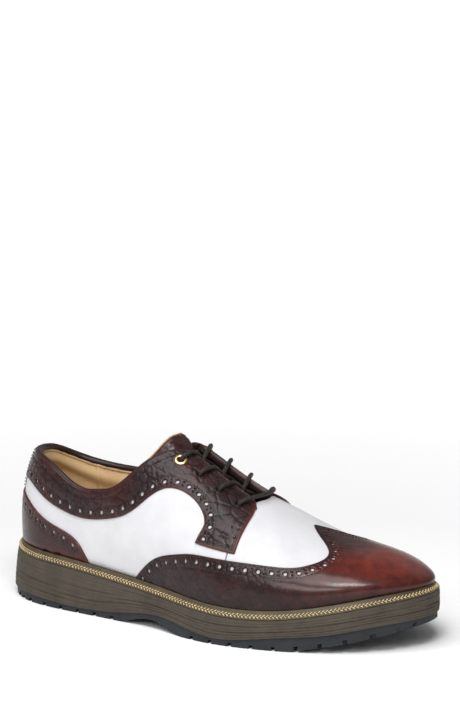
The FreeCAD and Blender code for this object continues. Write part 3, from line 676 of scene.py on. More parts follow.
def woven(name, low, high, roughness=0.9):
    s = Shader(name, roughness, Sheen_Weight=0.3)
    weave = s.node("TexWave", Scale=420, Distortion=1.5, Vector=s.space).outputs["Fac"]
    s.principled(Base_Color=s.mix(weave, low, high))
    return s.bump((weave, 0.5, 0.1), (s.noise(1500, 2), 0.4, 0.06))


def metal(name, low, high, roughness):
    s = Shader(name, roughness, Metallic=1.0)
    s.principled(Base_Color=s.mix(s.noise(300, 3), low, high))
    s.rough(900, 3, roughness - 0.06, roughness + 0.1)
    return s.bump((s.noise(1200, 2), 0.08, 0.03))


WHITE = white_leather()
BROWN = brown_leather()
DARK = plain_leather("dark_leather", (0.013, 0.006, 0.0055), (0.027, 0.012, 0.010), 0.36, 900,
                     0.05, 0.08)
TAN = plain_leather("tan_lining", (0.58, 0.385, 0.19), (0.67, 0.455, 0.235), 0.55, 1100, 0.04)
WELT = plain_leather("welt_leather", (0.050, 0.038, 0.020), (0.085, 0.064, 0.034), 0.5, 700, 0.08)
MIDSOLE = moulded("midsole_foam", (0.050, 0.040, 0.029), (0.073, 0.058, 0.043), 0.72)
RUBBER = moulded("outsole_rubber", (0.012, 0.014, 0.017), (0.022, 0.025, 0.030), 0.6)
GOLD_THREAD = thread_material("welt_thread", (0.42, 0.31, 0.15), (0.66, 0.52, 0.29))
BROWN_THREAD = thread_material("brown_thread", (0.020, 0.010, 0.009), (0.050, 0.024, 0.018))
TAN_THREAD = thread_material("tan_thread", (0.40, 0.26, 0.12), (0.58, 0.40, 0.20))
LACE = thread_material("lace_cotton", (0.010, 0.0075, 0.0055), (0.030, 0.023, 0.017))
GOLD = metal("gold_brass", (0.80, 0.56, 0.24), (0.92, 0.70, 0.36), 0.22)
BLACK_METAL = metal("dark_metal", (0.06, 0.05, 0.045), (0.10, 0.08, 0.07), 0.35)
AGLET = moulded("aglet_plastic", (0.015, 0.010, 0.008), (0.025, 0.018, 0.014), 0.3, 900, 0.1)
FOAM = moulded("foam", (0.62, 0.58, 0.48), (0.72, 0.68, 0.58), 0.9, 700, 0.8)
BOARD = woven("fibre_board", (0.34, 0.25, 0.15), (0.42, 0.32, 0.20))
CORK = moulded("cork", (0.25, 0.15, 0.08), (0.45, 0.30, 0.17), 0.9, 500, 0.9)
CLOTH = woven("backing_fabric", (0.55, 0.52, 0.46), (0.66, 0.63, 0.56))
STIFFENER = woven("stiffener_board", (0.45, 0.40, 0.32), (0.55, 0.50, 0.41), 0.7)
STEEL = metal("shank_steel", (0.45, 0.45, 0.47), (0.58, 0.58, 0.60), 0.32)
GEL = moulded("gel", (0.16, 0.12, 0.09), (0.22, 0.17, 0.13), 0.4)
COVER = plain_leather("footbed_cover", (0.42, 0.26, 0.12), (0.52, 0.34, 0.17), 0.6, 900, 0.06)


def aim(obj, back):
    """Turns a camera or light so that it looks against back."""
    obj.rotation_euler = back.to_track_quat("Z", "Y").to_euler()


# ------------------------------------------------------------------ camera
AZIMUTH, ELEVATION = math.radians(29.537163), math.radians(14.253475)
DISTANCE, FOCAL_PIXELS, TALL, LEVEL_ROW = 1474.4755 * MM, 2285.16, 706, 545
TARGET = Vector((8.4254, SHIFT_Y, 46.8186)) * MM
SENSOR = 36.0
back = Vector((math.sin(AZIMUTH) * math.cos(ELEVATION), -math.cos(AZIMUTH) * math.cos(ELEVATION),
               math.sin(ELEVATION)))
camera = new_object("camera", bpy.data.cameras.new("camera"))
camera.location = TARGET + back * DISTANCE
aim(camera, back)
camera.data.sensor_width = SENSOR
camera.data.lens = FOCAL_PIXELS / TALL * SENSOR
camera.data.shift_y = (LEVEL_ROW - TALL / 2) / TALL
camera.data.clip_end = 200
bpy.context.scene.camera = camera


# ------------------------------------------------------------------ cutting pattern pieces
def hole_ring(turn, height, radius, sides):
    along, climb = slopes(turn, height)
    first, out = unit(along), unit(np.cross(climb, along))
    angle = circle(sides)[:, None]
    move = (first * np.cos(angle) + np.cross(out, first) * np.sin(angle)) * radius
    return together(*nudge(turn, height, move))


def eyelet_rings(radius):
    return [hole_ring(side * turn, EYELET_HEIGHT, radius, 22)
            for side in (-1, 1) for turn in EYELET_TURNS]


def inner_side(path, outline, flat):
    """+1 where the piece lies to the left of its edge path, -1 where it lies to the right."""
    trial = shifted(path, 0.6)
    return 1.0 if len(within(trial, outline, flat)) > 0.5 * len(trial) else -1.0


def inner_row(path, distance, outline, flat):
    """A line on the piece, a distance inside the path along its edge."""
    line = resample(path, SEAM_STEP)
    return shifted(line, inner_side(line, outline, flat) * distance)


def perforations(path, outline, flat):
    """Rings of the brogue holes along an edge path: one large, then a pair, by turns."""
    line = shifted(resample(path, 0.5), inner_side(path, outline, flat) * BROGUE_INSET)
    line = resample(line, BROGUE_PITCH / 2)
    rings = []
    for i, (before, spot, after) in enumerate(zip(line, line[1:], line[2:])):
        if i % 2 == 0:
            rings.append(hole_ring(*spot, BIG_HOLE, 16))
            continue
        along, climb = slopes(*spot)
        run = unit(skin(*after) - skin(*before))
        across = np.cross(unit(np.cross(climb, along)), run)
        for offset in (-PAIR_OFFSET, PAIR_OFFSET):
            rings.append(hole_ring(*nudge(*spot, across * offset), SMALL_HOLE, 8))
    return rings


def waves(turn, height, size, amount):
    """Slow unevenness of the leather."""
    x, y, z = np.moveaxis(skin(turn, height) / size, -1, 0)
    return amount * (np.sin(x * 1.3 + 2 * np.sin(z)) * np.sin(y * 1.7 + x * 0.6)
                     + 0.6 * np.sin(x * 2.9 + y * 2.3 + z * 3.1))


def croc(flat, size, seed):
    """How near each flat point is to a crease of the embossing, and its cell's shade, 0..1."""
    rng = np.random.default_rng(seed)
    low, high = flat.min(0) - 2 * size, flat.max(0) + 2 * size
    nx, ny = np.ceil((high - low) / (size * CELL_WIDE, size)).astype(int)
    gx, gy = np.meshgrid(np.arange(nx), np.arange(ny), indexing="ij")
    seeds = together(gx + 0.5 * (gy % 2), gy).reshape(-1, 2).astype(float)
    seeds += rng.uniform(-0.42, 0.42, seeds.shape)
    tree = tree_of(low / (CELL_WIDE, 1) + seeds * size)
    found = [tree.find_n((x, y, 0), 2) for x, y in flat / (CELL_WIDE, 1)]
    gap = np.array([f[1][2] - f[0][2] for f in found])
    shades = rng.uniform(0, 1, len(seeds))
    return 1 - smooth(0.0, CREASE_SHARE * size, gap), shades[[f[0][1] for f in found]]


def croc_marks(tone, crease, emboss, shade):
    return {"tone": np.clip(tone, 0, 1), "crease": crease, "emboss": emboss, "shade": shade}


def scattered(ring, flat, spacing):
    """About evenly spread (turn, height) points over a ring's range: one in each flat cell."""
    turns, heights = ring.T
    if flat is flat_front:  # the range goes over the toe, where turns -1 and 1 meet
        turns = np.where(turns < -0.7, turns + 2, turns)
        low = min(turns.min(), 2 - turns.max())
        turns = np.array([low, 2 - low])
    step = 0.4 * spacing
    t, h = np.meshgrid(np.arange(turns.min(), turns.max(), step / TURN_MM),
                       np.arange(heights.min(), heights.max() + step / HEIGHT_MM,
                                 step / HEIGHT_MM))
    t, h = t.ravel(), np.minimum(h.ravel(), 1.0)
    spots = flat(t, h)
    row = np.floor(spots[:, 1] / (spacing * CELL_TALL))
    offset = 0.5 * (row % 2)
    column = np.floor(spots[:, 0] / spacing + offset)
    centre = together((column - offset + 0.5) * spacing, (row + 0.5) * spacing * CELL_TALL)
    order = np.argsort(((spots - centre) ** 2).sum(1), kind="stable")
    _, first = np.unique(row[order] * 100000 + column[order], return_index=True)
    return together(t, h)[order[first]]


def hole_clearance(points, rims):
    """Distance from each flat point to the nearest hole's rim."""
    if not rims:
        return np.full(len(points), FAR)
    centres = np.array([rim.mean(0) for rim in rims])
    radii = [np.linalg.norm(rim - centre, axis=1).mean() for rim, centre in zip(rims, centres)]
    tree = tree_of(centres)
    return np.array([min([FAR] + [distance - radii[k] for _, k, distance in
                                  tree.find_n((x, y, 0), 3)]) for x, y in points])


def triangulated(flats, counts):
    """Triangles over flat points that start with the outline and the holes' rims."""
    owner, edges, start = np.full(len(flats), -1), [], 0
    for k, count in enumerate(counts):
        loop = list(range(start, start + count))
        owner[loop] = k - 1
        edges += zip(loop, loop[1:] + loop[:1])
        start += count
    spots, _, found, sources = geometry.delaunay_2d_cdt([Vector(p) for p in flats], edges, [], 0,
                                                        1e-6)[:4]
    source = np.array([o[0] if o else -1 for o in sources])
    for i in np.nonzero(source < 0)[0]:
        source[i] = np.argmin(((flats - tuple(spots[i])) ** 2).sum(1))
    triangles = source[np.array(found)]
    owners = owner[triangles]
    keep = inside(flats[triangles].mean(1), flats[:counts[0]])
    keep &= ~((owners[:, :1] == owners).all(1) & (owners[:, 0] >= 0))
    return triangles[keep & (triangles != np.roll(triangles, 1, axis=1)).all(1)]


def cut_piece(name, outline, rims, top, bottom, flat, spacing, material, finish,
              edge_radius=0.9, seams=()):
    """Cuts a piece from the flat layout, with punched holes, and wraps it on the shoe.

    outline is a closed (turn, height) path, rims a list of hole rings, seams a list of sewn
    paths that pull the leather down; finish(turn, height, flat, distance to the edge) gives
    lift and marks."""
    closed = np.vstack([outline, outline[:1]])
    ring = resample(closed, spacing * 0.8)[:-1]
    ring_flat = flat(*ring.T)
    side = inner_side(ring, ring, flat)
    rows = [shifted(ring, side * distance) for distance in EDGE_ROWS]
    beside = [shifted(resample(seam, spacing * 0.7), move) for seam in seams for move in SEAM_ROWS]
    rows, spread = np.vstack(rows + beside), scattered(ring, flat, spacing)
    points = np.vstack([rows, spread])
    loose = np.arange(len(points)) >= len(rows)
    keep = inside(flat(*points.T), ring_flat)
    points, loose = points[keep], loose[keep]
    flats = flat(*points.T)
    edge = nearest(flats, flat(*resample(closed, 0.15).T))
    rim_flats = [flat(*rim.T) for rim in rims]
    clear = hole_clearance(flats, rim_flats)
    keep = (edge > np.where(loose, EDGE_ROOM, 0.2)) & (clear > HOLE_ROOM)
    if seams:
        keep &= ~loose | (nearest(flats, flat(*np.vstack(beside).T)) > SEAM_ROOM)
    # the outline comes first, then the rims, then the points between them
    points = np.vstack([ring, *rims, points[keep]])
    flats = np.vstack([ring_flat, *rim_flats, flats[keep]])
    counts = [len(ring)] + [len(rim) for rim in rims]
    around = sum(counts[1:])
    edge = np.r_[np.zeros(len(ring)), np.full(around, FAR), edge[keep]]
    clear = np.r_[np.full(len(ring), FAR), np.zeros(around), clear[keep]]
    triangles = triangulated(flats, counts)

    lift, marks = finish(*points.T, flats, edge)
    full = EDGE_SHARE + (1 - EDGE_SHARE) * quarter_round(edge, edge_radius)
    depth = bottom + (top - bottom) * full + lift * smooth(0.0, 1.4, edge)
    depth = depth - HOLE_DIP * (1 - smooth(0.0, 0.55, clear))
    if seams:
        seam_line = np.vstack([resample(seam, 0.4) for seam in seams])
        depth = depth - SEAM_DIP * bell(nearest(flats, flat(*seam_line.T)), 0.62)
    upper, under = layer(*points.T, depth), layer(*points.T, bottom)
    a, b, c = upper[triangles].transpose(1, 0, 2)
    outwards = (np.cross(b - a, c - a) * normal(*points[triangles[:, 0]].T)).sum(1) >= 0
    triangles = np.where(outwards[:, None], triangles, triangles[:, ::-1])
    count = len(points)
    faces = triangles.tolist() + (triangles[:, ::-1] + count).tolist()
    border = {}
    for corners in triangles.tolist():
        for p, q in zip(corners, corners[1:] + corners[:1]):
            if not border.pop((q, p), False):
                border[p, q] = True
    faces += [[q, p, p + count, q + count] for p, q in border]
    marks = {mark: np.tile(values + np.zeros(count), 2) for mark, values in marks.items()}
    return add_mesh(name, np.vstack([upper, under]), faces, material, marks)


def white_piece(name, nodes, outline, rims, flat, spacing, wave):
    def finish(turn, height, flats, edge):
        return waves(turn, height, wave, 0.05), {}

    obj = cut_piece(name, outline, rims, 0.0, WHITE_UNDER, flat, spacing, WHITE, finish, 0.6)
    adopt(obj, "shoe", "white_leather", *nodes)


def brown_piece(name, nodes, outline, rims, flat, finish, stitch_name, seams, extra=(),
                top=OVERLAY_TOP, bottom=OVERLAY_UNDER, spacing=0.95,
                stitch_depth=OVERLAY_TOP - 0.12):
    """A brown leather piece and, on it, the stitches of its seams."""
    obj = cut_piece(name, outline, rims, top, bottom, flat, spacing, BROWN, finish, 0.9, seams)
    adopt(obj, "shoe", "brown_leather", *nodes)
    parts = [sewn_row(seam, stitch_depth) for seam in seams if len(seam) > 4]
    adopt(joined(stitch_name, parts + list(extra), BROWN_THREAD), "shoe", "brown_leather")


# ------------------------------------------------------------------ the upper's pieces
def panel_outline(turns, low, high):
    """Closed outline between two edges over the turns, and its upright front and back ends."""
    share = np.linspace(0, 1, 80)[1:-1]
    right = together(turns[-1], low[-1] + (high[-1] - low[-1]) * share)
    left = together(turns[0], high[0] + (low[0] - high[0]) * share)
    return np.vstack([together(turns, low), right, together(turns, high)[::-1], left]), right, left


def quarters():
    """White quarters, one piece round the heel."""
    front = float(turn_at(QUARTER_FRONT_X))
    turns = np.linspace(-front, front, 500)
    outline, _, _ = panel_outline(turns, lowest_edge(turns), stack_top(turns))
    white_piece("white_quarters", ("quarter_lateral", "quarter_medial"), outline,
                eyelet_rings(2.5), flat_side, 1.9, 9.0)


def domed_outline(rear):
    """Closed outline of a piece over the forefoot whose rear edge is turn rear(height)."""
    low = float(lowest_edge(float(rear(0.0))))
    h = low + (1 - low) * np.linspace(0, 1, 260) ** 0.8
    medial = together(rear(h), h)[::-1]
    lateral = together(2 - rear(h), h)
    turns = np.linspace(medial[-1, 0], 2 - medial[-1, 0], 700)
    bottom = together(turns, lowest_edge(turns))
    return np.vstack([lateral, medial, bottom[1:-1]]), medial, lateral


def vamp_rear(height):
    """The vamp runs back under the fourth lace bar, a little hollowed at its middle."""
    return turn_at(QUARTER_FRONT_X + 0.4 + 2.0 * smooth(0.85, 1.0, height))


def vamp():
    outline, _, _ = domed_outline(vamp_rear)
    white_piece("white_vamp", ("vamp",), outline, [], flat_front, 2.0, 8.0)


def wing():
    outline, medial, lateral = domed_outline(lambda height: turn_at(wing_edge(height)))
    rims, seams = [], []
    for path in (medial[::-1], lateral):
        rims += perforations(path, outline, flat_front)
        for distance in (1.5, 7.9):
            line = inner_row(path, distance, outline, flat_front)
            seams.append(line[(line[:, 1] < 0.985) & (line[:, 1] > 0.02)])

    def finish(turn, height, flats, edge):
        x = skin(turn, height)[:, 0]
        emboss = (1 - smooth(40, 85, x)) * (1 - 0.4 * smooth(9, 20, edge)) * 0.75 + 0.05
        crease, cell = croc(flats, 5.2, 11)
        crease = crease * emboss
        # burnished towards the toe and darker along the edge; the darkening low down, at the lower
        # front of its tip and on its top is painted shade
        low = 1 - 0.80 * (1 - smooth(0.0, 0.42, height))
        painted_tip_shade = 1 - 0.55 * smooth(0.90, 1.0, np.abs(turn)) * (1 - smooth(0.3, 0.8, height))
        near_edge = 1 - 0.7 * (1 - smooth(0.0, 8.0, edge))
        shadow = 1 - 0.75 * smooth(0.62, 0.92, height) * (1 - smooth(96, 122, x))
        tone = (0.14 + 0.86 * smooth(58, 128, x)) * low * painted_tip_shade * near_edge * shadow
        lift = -0.22 * crease + waves(turn, height, 10.0, 0.035)
        return lift, croc_marks(tone, crease, emboss, cell * emboss)

    brown_piece("wing_tip_leather", ("wing_tip",), outline, rims, flat_front, finish,
                "wing_tip_stitches", seams)


def collar():
    edge = smooth_path(COLLAR_EDGE, 700)
    bottom = np.linspace(edge[-1], COLLAR_FRONT_FOOT, 60)
    front = smooth_path(TAB_OUTLINE, 160)
    turns = np.linspace(0.560, -0.560, 1200)
    top = together(turns, collar_top(turns))
    lower = mirrored(edge)
    rim = np.vstack([edge[-60:], bottom[1:], front, top[top[:, 0] > 0.48]])
    outline = np.vstack([mirrored(np.vstack([edge, bottom[1:], front])), top])
    rims = eyelet_rings(2.35)
    rows = [(lower, 1.5), (lower, 7.6), (top[np.abs(top[:, 0]) < 0.45], 4.4)]
    seams, tacks = [], []
    for side in (-1, 1):
        rims += perforations(edge * (side, 1), outline, flat_side)
        rows += [(rim * (side, 1), distance) for distance in (1.7, 3.1)]
        # the line that curls towards the bar tack, and the tack
        seams.append(resample(smooth_path(CURL, 120) * (side, 1), SEAM_STEP))
        line = resample(np.array(BAR_TACK) * (side, 1), 0.9)
        at = layer(*line.T, OVERLAY_TOP + 0.05)
        outs = normal(*line.T)
        across = np.cross(outs, unit(np.gradient(at, axis=0))) * 1.1
        tacks.append(threads(at - across, at + across, outs, 0.34))
    for path, distance in rows:
        seams.append(within(inner_row(path, distance, outline, flat_side), outline, flat_side))
    rim_flat = np.vstack([flat_side(*rim.T), flat_side(-rim[:, 0], rim[:, 1])])

    def finish(turn, height, flats, edge):
        away = np.abs(turn)
        tab = smooth(0.46, 0.5, away)
        small, large = np.array(croc(flats, 4.3, 5)), np.array(croc(flats, 6.6, 6))
        crease, shade = small * (1 - tab) + large * tab
        emboss = 0.35 + 0.65 * smooth(0.0, 4.0, edge)
        crease = crease * emboss
        rolled = bell(nearest(flats, rim_flat) - 0.7, 0.75) * smooth(0.50, 0.53, away)
        # painted highlight: a lighter, warmer tone along the cut edge and on the rolled rim, as if
        # they catch the light; the sine is a slow random change of tone
        tone = (0.06 + 0.22 * (1 - smooth(0.0, 1.8, edge)) + 0.3 * rolled
                + 0.06 * np.sin(flats[:, 0] / 9.0))
        lift = -0.36 * crease + waves(turn, height, 7.0, 0.04) + 0.55 * rolled
        return lift, croc_marks(tone, crease * (1 - rolled), emboss, shade)

    brown_piece("collar_and_facings", ("collar_facing_lateral", "collar_facing_medial"), outline,
                rims, flat_side, finish, "collar_stitches", seams, tacks)


def foxing():
    half = smooth_path(FOXING_EDGE, 300)
    turns = np.linspace(half[-1, 0], -half[-1, 0], 420)
    low = lowest_edge(turns)
    half = half[half[:, 1] > low[0]]
    outline = np.vstack([mirrored(half), together(turns, low)])
    rims, seams = [], []
    for side in (-1, 1):
        path = half * (side, 1)
        rims += perforations(path[np.abs(path[:, 0]) < 0.322], outline, flat_side)
        for distance in (1.5, 7.6):
            seams.append(within(inner_row(path, distance, outline, flat_side), outline, flat_side))

    def finish(turn, height, flats, edge):
        emboss = 0.55 + 0.3 * smooth(6, 20, height * HEIGHT_MM)
        crease, cell = croc(flats, 4.6, 21)
        crease = crease * emboss * smooth(0.03, 0.12, height)
        # painted highlight: a lighter tone along the cut edge, as if it catches the light
        tone = 0.10 + 0.25 * (1 - smooth(0, 2.5, edge))
        lift = -0.18 * crease + waves(turn, height, 8.0, 0.03)
        return lift, croc_marks(tone, crease, emboss, cell)

    brown_piece("heel_foxing_leather", ("heel_foxing",), outline, rims, flat_side, finish,
                "heel_foxing_stitches", seams)


def backstay():
    turns = np.linspace(-0.034, 0.034, 60)
    outline, right, left = panel_outline(turns, np.full(60, 0.243), stack_top(turns) - 0.004)
    seams = [shifted(resample(right, SEAM_STEP), 1.3),
             shifted(resample(left[::-1], SEAM_STEP), -1.3)]

    def finish(turn, height, flats, edge):
        crease, cell = croc(flats, 4.0, 31)
        return -0.1 * crease, croc_marks(0.08, crease * 0.6, 0.5, cell)

    brown_piece("backstay_leather", ("backstay",), outline, [], flat_side, finish,
                "backstay_stitches", seams, (), 2.45, 1.2, 0.8, 2.22)


# ------------------------------------------------------------------ topline, lining, tongue
def binding():
    turn = np.linspace(-0.462, 0.462, 420)
    height = stack_top(turn)
    centre = layer(turn, height, (OVERLAY_TOP + LINING_INNER) / 2)
    out = normal(turn, height)
    up = unit(np.cross(unit(np.gradient(centre, axis=0)), out))
    up = np.where(up[:, 2:] < 0, -up, up)
    out = unit(out - up * (out * up).sum(1)[:, None])
    angle = np.radians(np.r_[np.linspace(-30, 205, 22), np.linspace(215, 320, 6)])
    level = ROLL_RISE * (1 - smooth(0.43, 0.462, np.abs(turn)))[:, None]
    wide = np.where(np.cos(angle) > 0, 1.75, 2.75)[None]
    high = np.where(np.sin(angle) > 0, 1.9, 1.3 + ROLL_RISE)[None]
    wobble = 1 + 0.02 * np.sin(turn * 170)[:, None] * np.sin(3 * angle)[None]
    side = np.cos(angle)[None] * wide * wobble
    rise = np.sin(angle)[None] * high * wobble + level
    rings = centre[:, None] + out[:, None] * side[..., None] + up[:, None] * rise[..., None]
    adopt(sweep("topline_binding_leather", rings, DARK), "shoe", "dark_leather", "topline_binding")
    # piping under the roll on the inside, and the stitches that hold both
    foot = centre - out * 2.75 - up * 1.0
    adopt(sweep("topline_piping", tube_rings(foot, 0.42, 8), TAN_THREAD), "shoe", "tan_lining")
    row = (centre - out * 2.72 - up * 2.2)[::9]
    parts = [stitches(row, -out[::9], margin=0.14)]
    adopt(joined("topline_stitches", parts, TAN_THREAD), "shoe", "tan_lining")


def lining():
    front = float(turn_at(QUARTER_FRONT_X))
    turn = np.linspace(-front, front, 420)[:, None]
    low = lowest_edge(turn, 1.0)
    high = stack_top(turn) - 0.05 * smooth(0.458, 0.475, np.abs(turn))
    height = low + (high - low) * np.linspace(0, 1, 70)[None]
    turn = turn + 0 * height
    swell = collar_swell(turn, height)
    seam = bell((np.abs(turn) - LINING_SEAM) * TURN_MM, 0.9)
    uneven = 0.05 * np.sin(turn * 90 + 3 * height) * np.sin(height * 30)
    outer = layer(turn, height, LINING_OUTER - swell)
    inner = layer(turn, height, LINING_INNER - swell - 0.6 * seam - uneven)
    obj = sheet("quarter_lining_leather", outer, inner, TAN)
    adopt(obj, "shoe", "tan_lining", "quarter_lining")
    # two rows beside each upright seam, and the row that closes the padded collar
    rows = []
    for side in (-1, 1):
        for offset in (-0.0062, 0.0062):
            t = side * (LINING_SEAM + offset)
            rows.append((together(t, np.linspace(0.03, float(stack_top(t)) - 0.02, 60)), -3.45))
    t = np.linspace(-0.41, 0.41, 600)
    rows.append((together(t, stack_top(t) - 0.155), -3.42))
    parts = [sewn_row(path, depth, 2.6, 0.2, -1) for path, depth in rows]
    adopt(joined("lining_stitches", parts, TAN_THREAD), "shoe", "tan_lining")


FACING_EDGE_SECTION = np.array([
    (-3.3, -0.46), (-3.72, -0.46), (-3.75, -0.3), (-3.78, -0.15), (-3.8, -0.02), (-3.7, 0.0),
    (-3.4, 0.007), (-2.2, 0.012), (-1.0, 0.014), (0.0, 0.013), (0.7, 0.009), (0.95, 0.003),
    (0.7, 0.0005), (-1.3, 0.0005), (-1.35, -0.012), (-3.0, -0.02)])


def facing_edges_and_shade_backing():
    """Dark strip that folds over the facings' edges, a real binding, and backs them inside: that
    wide dark backing is painted shade, standing for the shade in the gap between facing and
    tongue.
    """
    section_depth, section_rise = FACING_EDGE_SECTION.T
    for name, side in (("facing_edge_lateral", -1), ("facing_edge_medial", 1)):
        turn = side * np.linspace(0.452, 0.5865, 120)[:, None] + 0 * section_depth[None]
        depth = section_depth[None] + 0.06 * np.sin(turn * 400)
        rings = layer(turn, stack_top(turn) + section_rise[None], depth)
        adopt(sweep(name, rings, DARK, flip=side > 0), "shoe", "dark_leather")


def collar_foam():
    turn = np.linspace(-0.42, 0.42, 200)[:, None]
    height = stack_top(turn) - 0.012 - 0.147 * (1 - np.linspace(0, 1, 20)[None])
    turn = turn + 0 * height
    outer = layer(turn, height, -1.4)
    inner = layer(turn, height, -2.3 - collar_swell(turn, height))
    obj = sheet("collar_foam_pad", outer, inner, FOAM)
    adopt(obj, "shoe", "foam", "collar_padding")


def height_at_width(x, y):
    """Turn and height of the surface point above x and y, found by halving."""
    side = np.where(y < ridge_y(x), -1.0, 1.0)
    turn = side * turn_at(x)
    low, high = np.zeros_like(x), np.ones_like(x)
    for _ in range(26):
        middle = (low + high) / 2
        wide = (skin(turn, middle)[..., 1] - y) * side > 0
        low, high = np.where(wide, middle, low), np.where(wide, high, middle)
    return turn, (low + high) / 2


def tongue_point(u, v, depth):
    """Point of the tongue: u from its throat to its end, v across it."""
    across = 2 * v - 1
    half = 14.0 + 12.6 * smooth(0.0, 0.6, u)
    end = TONGUE_END_X - TONGUE_SWEEP * across ** 2
    x = TONGUE_FRONT_X + (end - TONGUE_FRONT_X) * u
    turn, height = height_at_width(x, ridge_y(x) + across * half)
    base = 1.9 + 7.1 * smooth(TONGUE_FRONT_X - 5, TONGUE_FRONT_X - 21, x)
    rise = 10.3 * smooth(-8, -30, x) * (1 - 0.62 * smooth(5, 24, np.abs(across * half)))
    return layer(turn, height, rise - base - depth)


def tongue_grid(rows, columns, start, end, side=0.0):
    """u and v over a part of the tongue, and the distance in mm to that part's edge."""
    u, v = np.meshgrid(np.linspace(start, end, rows), np.linspace(side, 1 - side, columns),
                       indexing="ij")
    to_end = np.minimum(end - u, u - start) if start else end - u
    to_side = np.minimum(v - side, 1 - side - v)
    return u, v, np.minimum(to_side * TONGUE_WIDTH, to_end * TONGUE_LENGTH)


def tongue():
    u, v, edge = tongue_grid(90, 56, 0.0, 1.0)
    roll = quarter_round(edge, 2.2)
    seam = bell(edge - 4.2, 0.8) * smooth(0.25, 0.4, u)
    puff = 0.7 * smooth(4.5, 14, edge) * smooth(0.2, 0.5, u)
    uneven = 0.12 * np.sin(u * 40 + v * 6) * np.sin(v * 17 + u * 9)
    crease, cell = croc(together(u.ravel() * TONGUE_LENGTH, v.ravel() * TONGUE_WIDTH), 4.4, 41)
    flat = np.ones_like(crease)
    lift = puff * 0.35 + uneven * roll - 0.55 * (1 - roll) - 0.35 * seam
    top = tongue_point(u, v, 0.22 * crease.reshape(u.shape) * roll - lift)
    marks = croc_marks(0.16 * flat, crease * 0.9, 0.6 * flat, cell)
    obj = sheet("tongue_leather", top, tongue_point(u, v, 1.0), BROWN, marks, flip=True)
    adopt(obj, "tongue", "dark_leather", "tongue_outer")
    # pad and lining, a plump pillow behind the leather
    u, v, edge = tongue_grid(70, 44, 0.22, 0.985, 0.03)
    behind = tongue_point(u, v, 1.45 + 2.9 * quarter_round(edge, 5.0))
    pad = sheet("tongue_pad", tongue_point(u, v, 1.25), behind, FOAM, flip=True)
    adopt(pad, "tongue", "foam", "tongue_padding")
    u, v, edge = tongue_grid(70, 44, 0.2, 1.006)
    crown = quarter_round(edge - 1.2, 5.0)
    behind = tongue_point(u, v, 1.75 + 3.6 * crown - 0.2 * bell(edge - 1.5, 0.6))
    obj = sheet("tongue_lining_leather", tongue_point(u, v, 1.08 + 3.35 * crown), behind, TAN,
                flip=True)
    adopt(obj, "tongue", "tan_lining", "tongue_lining")
    rear = tongue_point(np.full(120, 1.004), np.linspace(0.02, 0.98, 120), 0.75)
    adopt(sweep("tongue_piping", tube_rings(rear, 0.62, 10), TAN_THREAD), "tongue", "tan_lining")
    # stitches along both sides and the end
    rows = [(np.linspace(0.3, 0.945, 60), np.full(60, v0)) for v0 in (0.075, 0.925)]
    rows.append((np.full(40, 0.945), np.linspace(0.075, 0.925, 40)))
    parts = []
    for u, v in rows:
        line = tongue_point(u, v, -0.02)
        out = unit(tongue_point(u, v, -1.0) - line)
        run = run_of(line)
        at = np.linspace(0, run[-1], int(run[-1] / 2.4) + 1)
        parts.append(stitches(at_run(at, run, line), at_run(at, run, out)))
    adopt(joined("tongue_stitches", parts, BROWN_THREAD), "tongue", "dark_leather")


# ------------------------------------------------------------------ sole
def tucked(turn, reach):
    """Reach of the welt, which is narrower round the back of the heel."""
    return reach * (1 - 0.42 * (1 - smooth(0.06, 0.24, np.abs(turn))))


def welt_face(turn, share, proud):
    """Point on the sloping sewn face of the welt, from the bead (0) to the outer edge (1)."""
    x, y = reached_plan(turn, tucked(turn, 3.0 + 3.3 * share + 0.7 * proud))
    return together(x, y, feather(x) - 0.1 - 2.9 * share + 0.7 * proud)


WELT_SECTION = np.array([
    (-2.6, 0.0), (0.3, 0.05), (0.9, 0.1), (1.05, 0.55), (1.45, 0.98), (1.95, 1.1), (2.45, 0.95),
    (2.8, 0.5), (2.95, 0.1), (3.2, -0.35), (4.0, -1.1), (4.9, -1.9), (5.7, -2.55), (6.2, -2.85),
    (6.5, -3.05), (6.6, -3.3), (6.5, -3.7), (6.1, -3.95), (3.0, -3.98), (-2.6, -3.98)])


def welt():
    turn = np.linspace(-1, 1, 640, endpoint=False)[:, None]
    reach, rise = WELT_SECTION.T[:, None]
    x, y = reached_plan(turn, np.where(reach > 0, tucked(turn, reach), reach))
    rings = together(x, y, feather(x) + rise)
    adopt(sweep("welt_strip", rings, WELT, True, True), "shoe", "welt_leather", "welt")
    # herringbone stitches on the sloping face
    fine = np.linspace(-1, 1, 4001)
    run = run_of(welt_face(fine, 0.5, 0.0))
    count = int(run[-1] / 2.5)
    step = run[-1] / count
    parts = []
    for shift, share in ((0.0, 0.30), (0.45, 0.94)):
        at = np.interp((np.arange(count) + shift) * step, run, fine)
        later = np.interp((np.arange(count) + shift + 0.62) * step, run, fine)
        outs = unit(welt_face(at, 0.5, 1.0) - welt_face(at, 0.5, 0.0))
        parts.append(threads(welt_face(at, share, 0.2), welt_face(later, 0.62, 0.2), outs, 0.40))
    adopt(joined("welt_herringbone_stitches", parts, GOLD_THREAD), "shoe", "welt_thread",
          "welt_stitching")


# level down the wall, width and depth of each groove
GROOVES = ((0.20, 0.018, 0.35), (0.36, 0.024, 0.7), (0.50, 0.024, 0.75), (0.64, 0.024, 0.75),
           (0.78, 0.024, 0.7), (0.91, 0.016, 0.35))


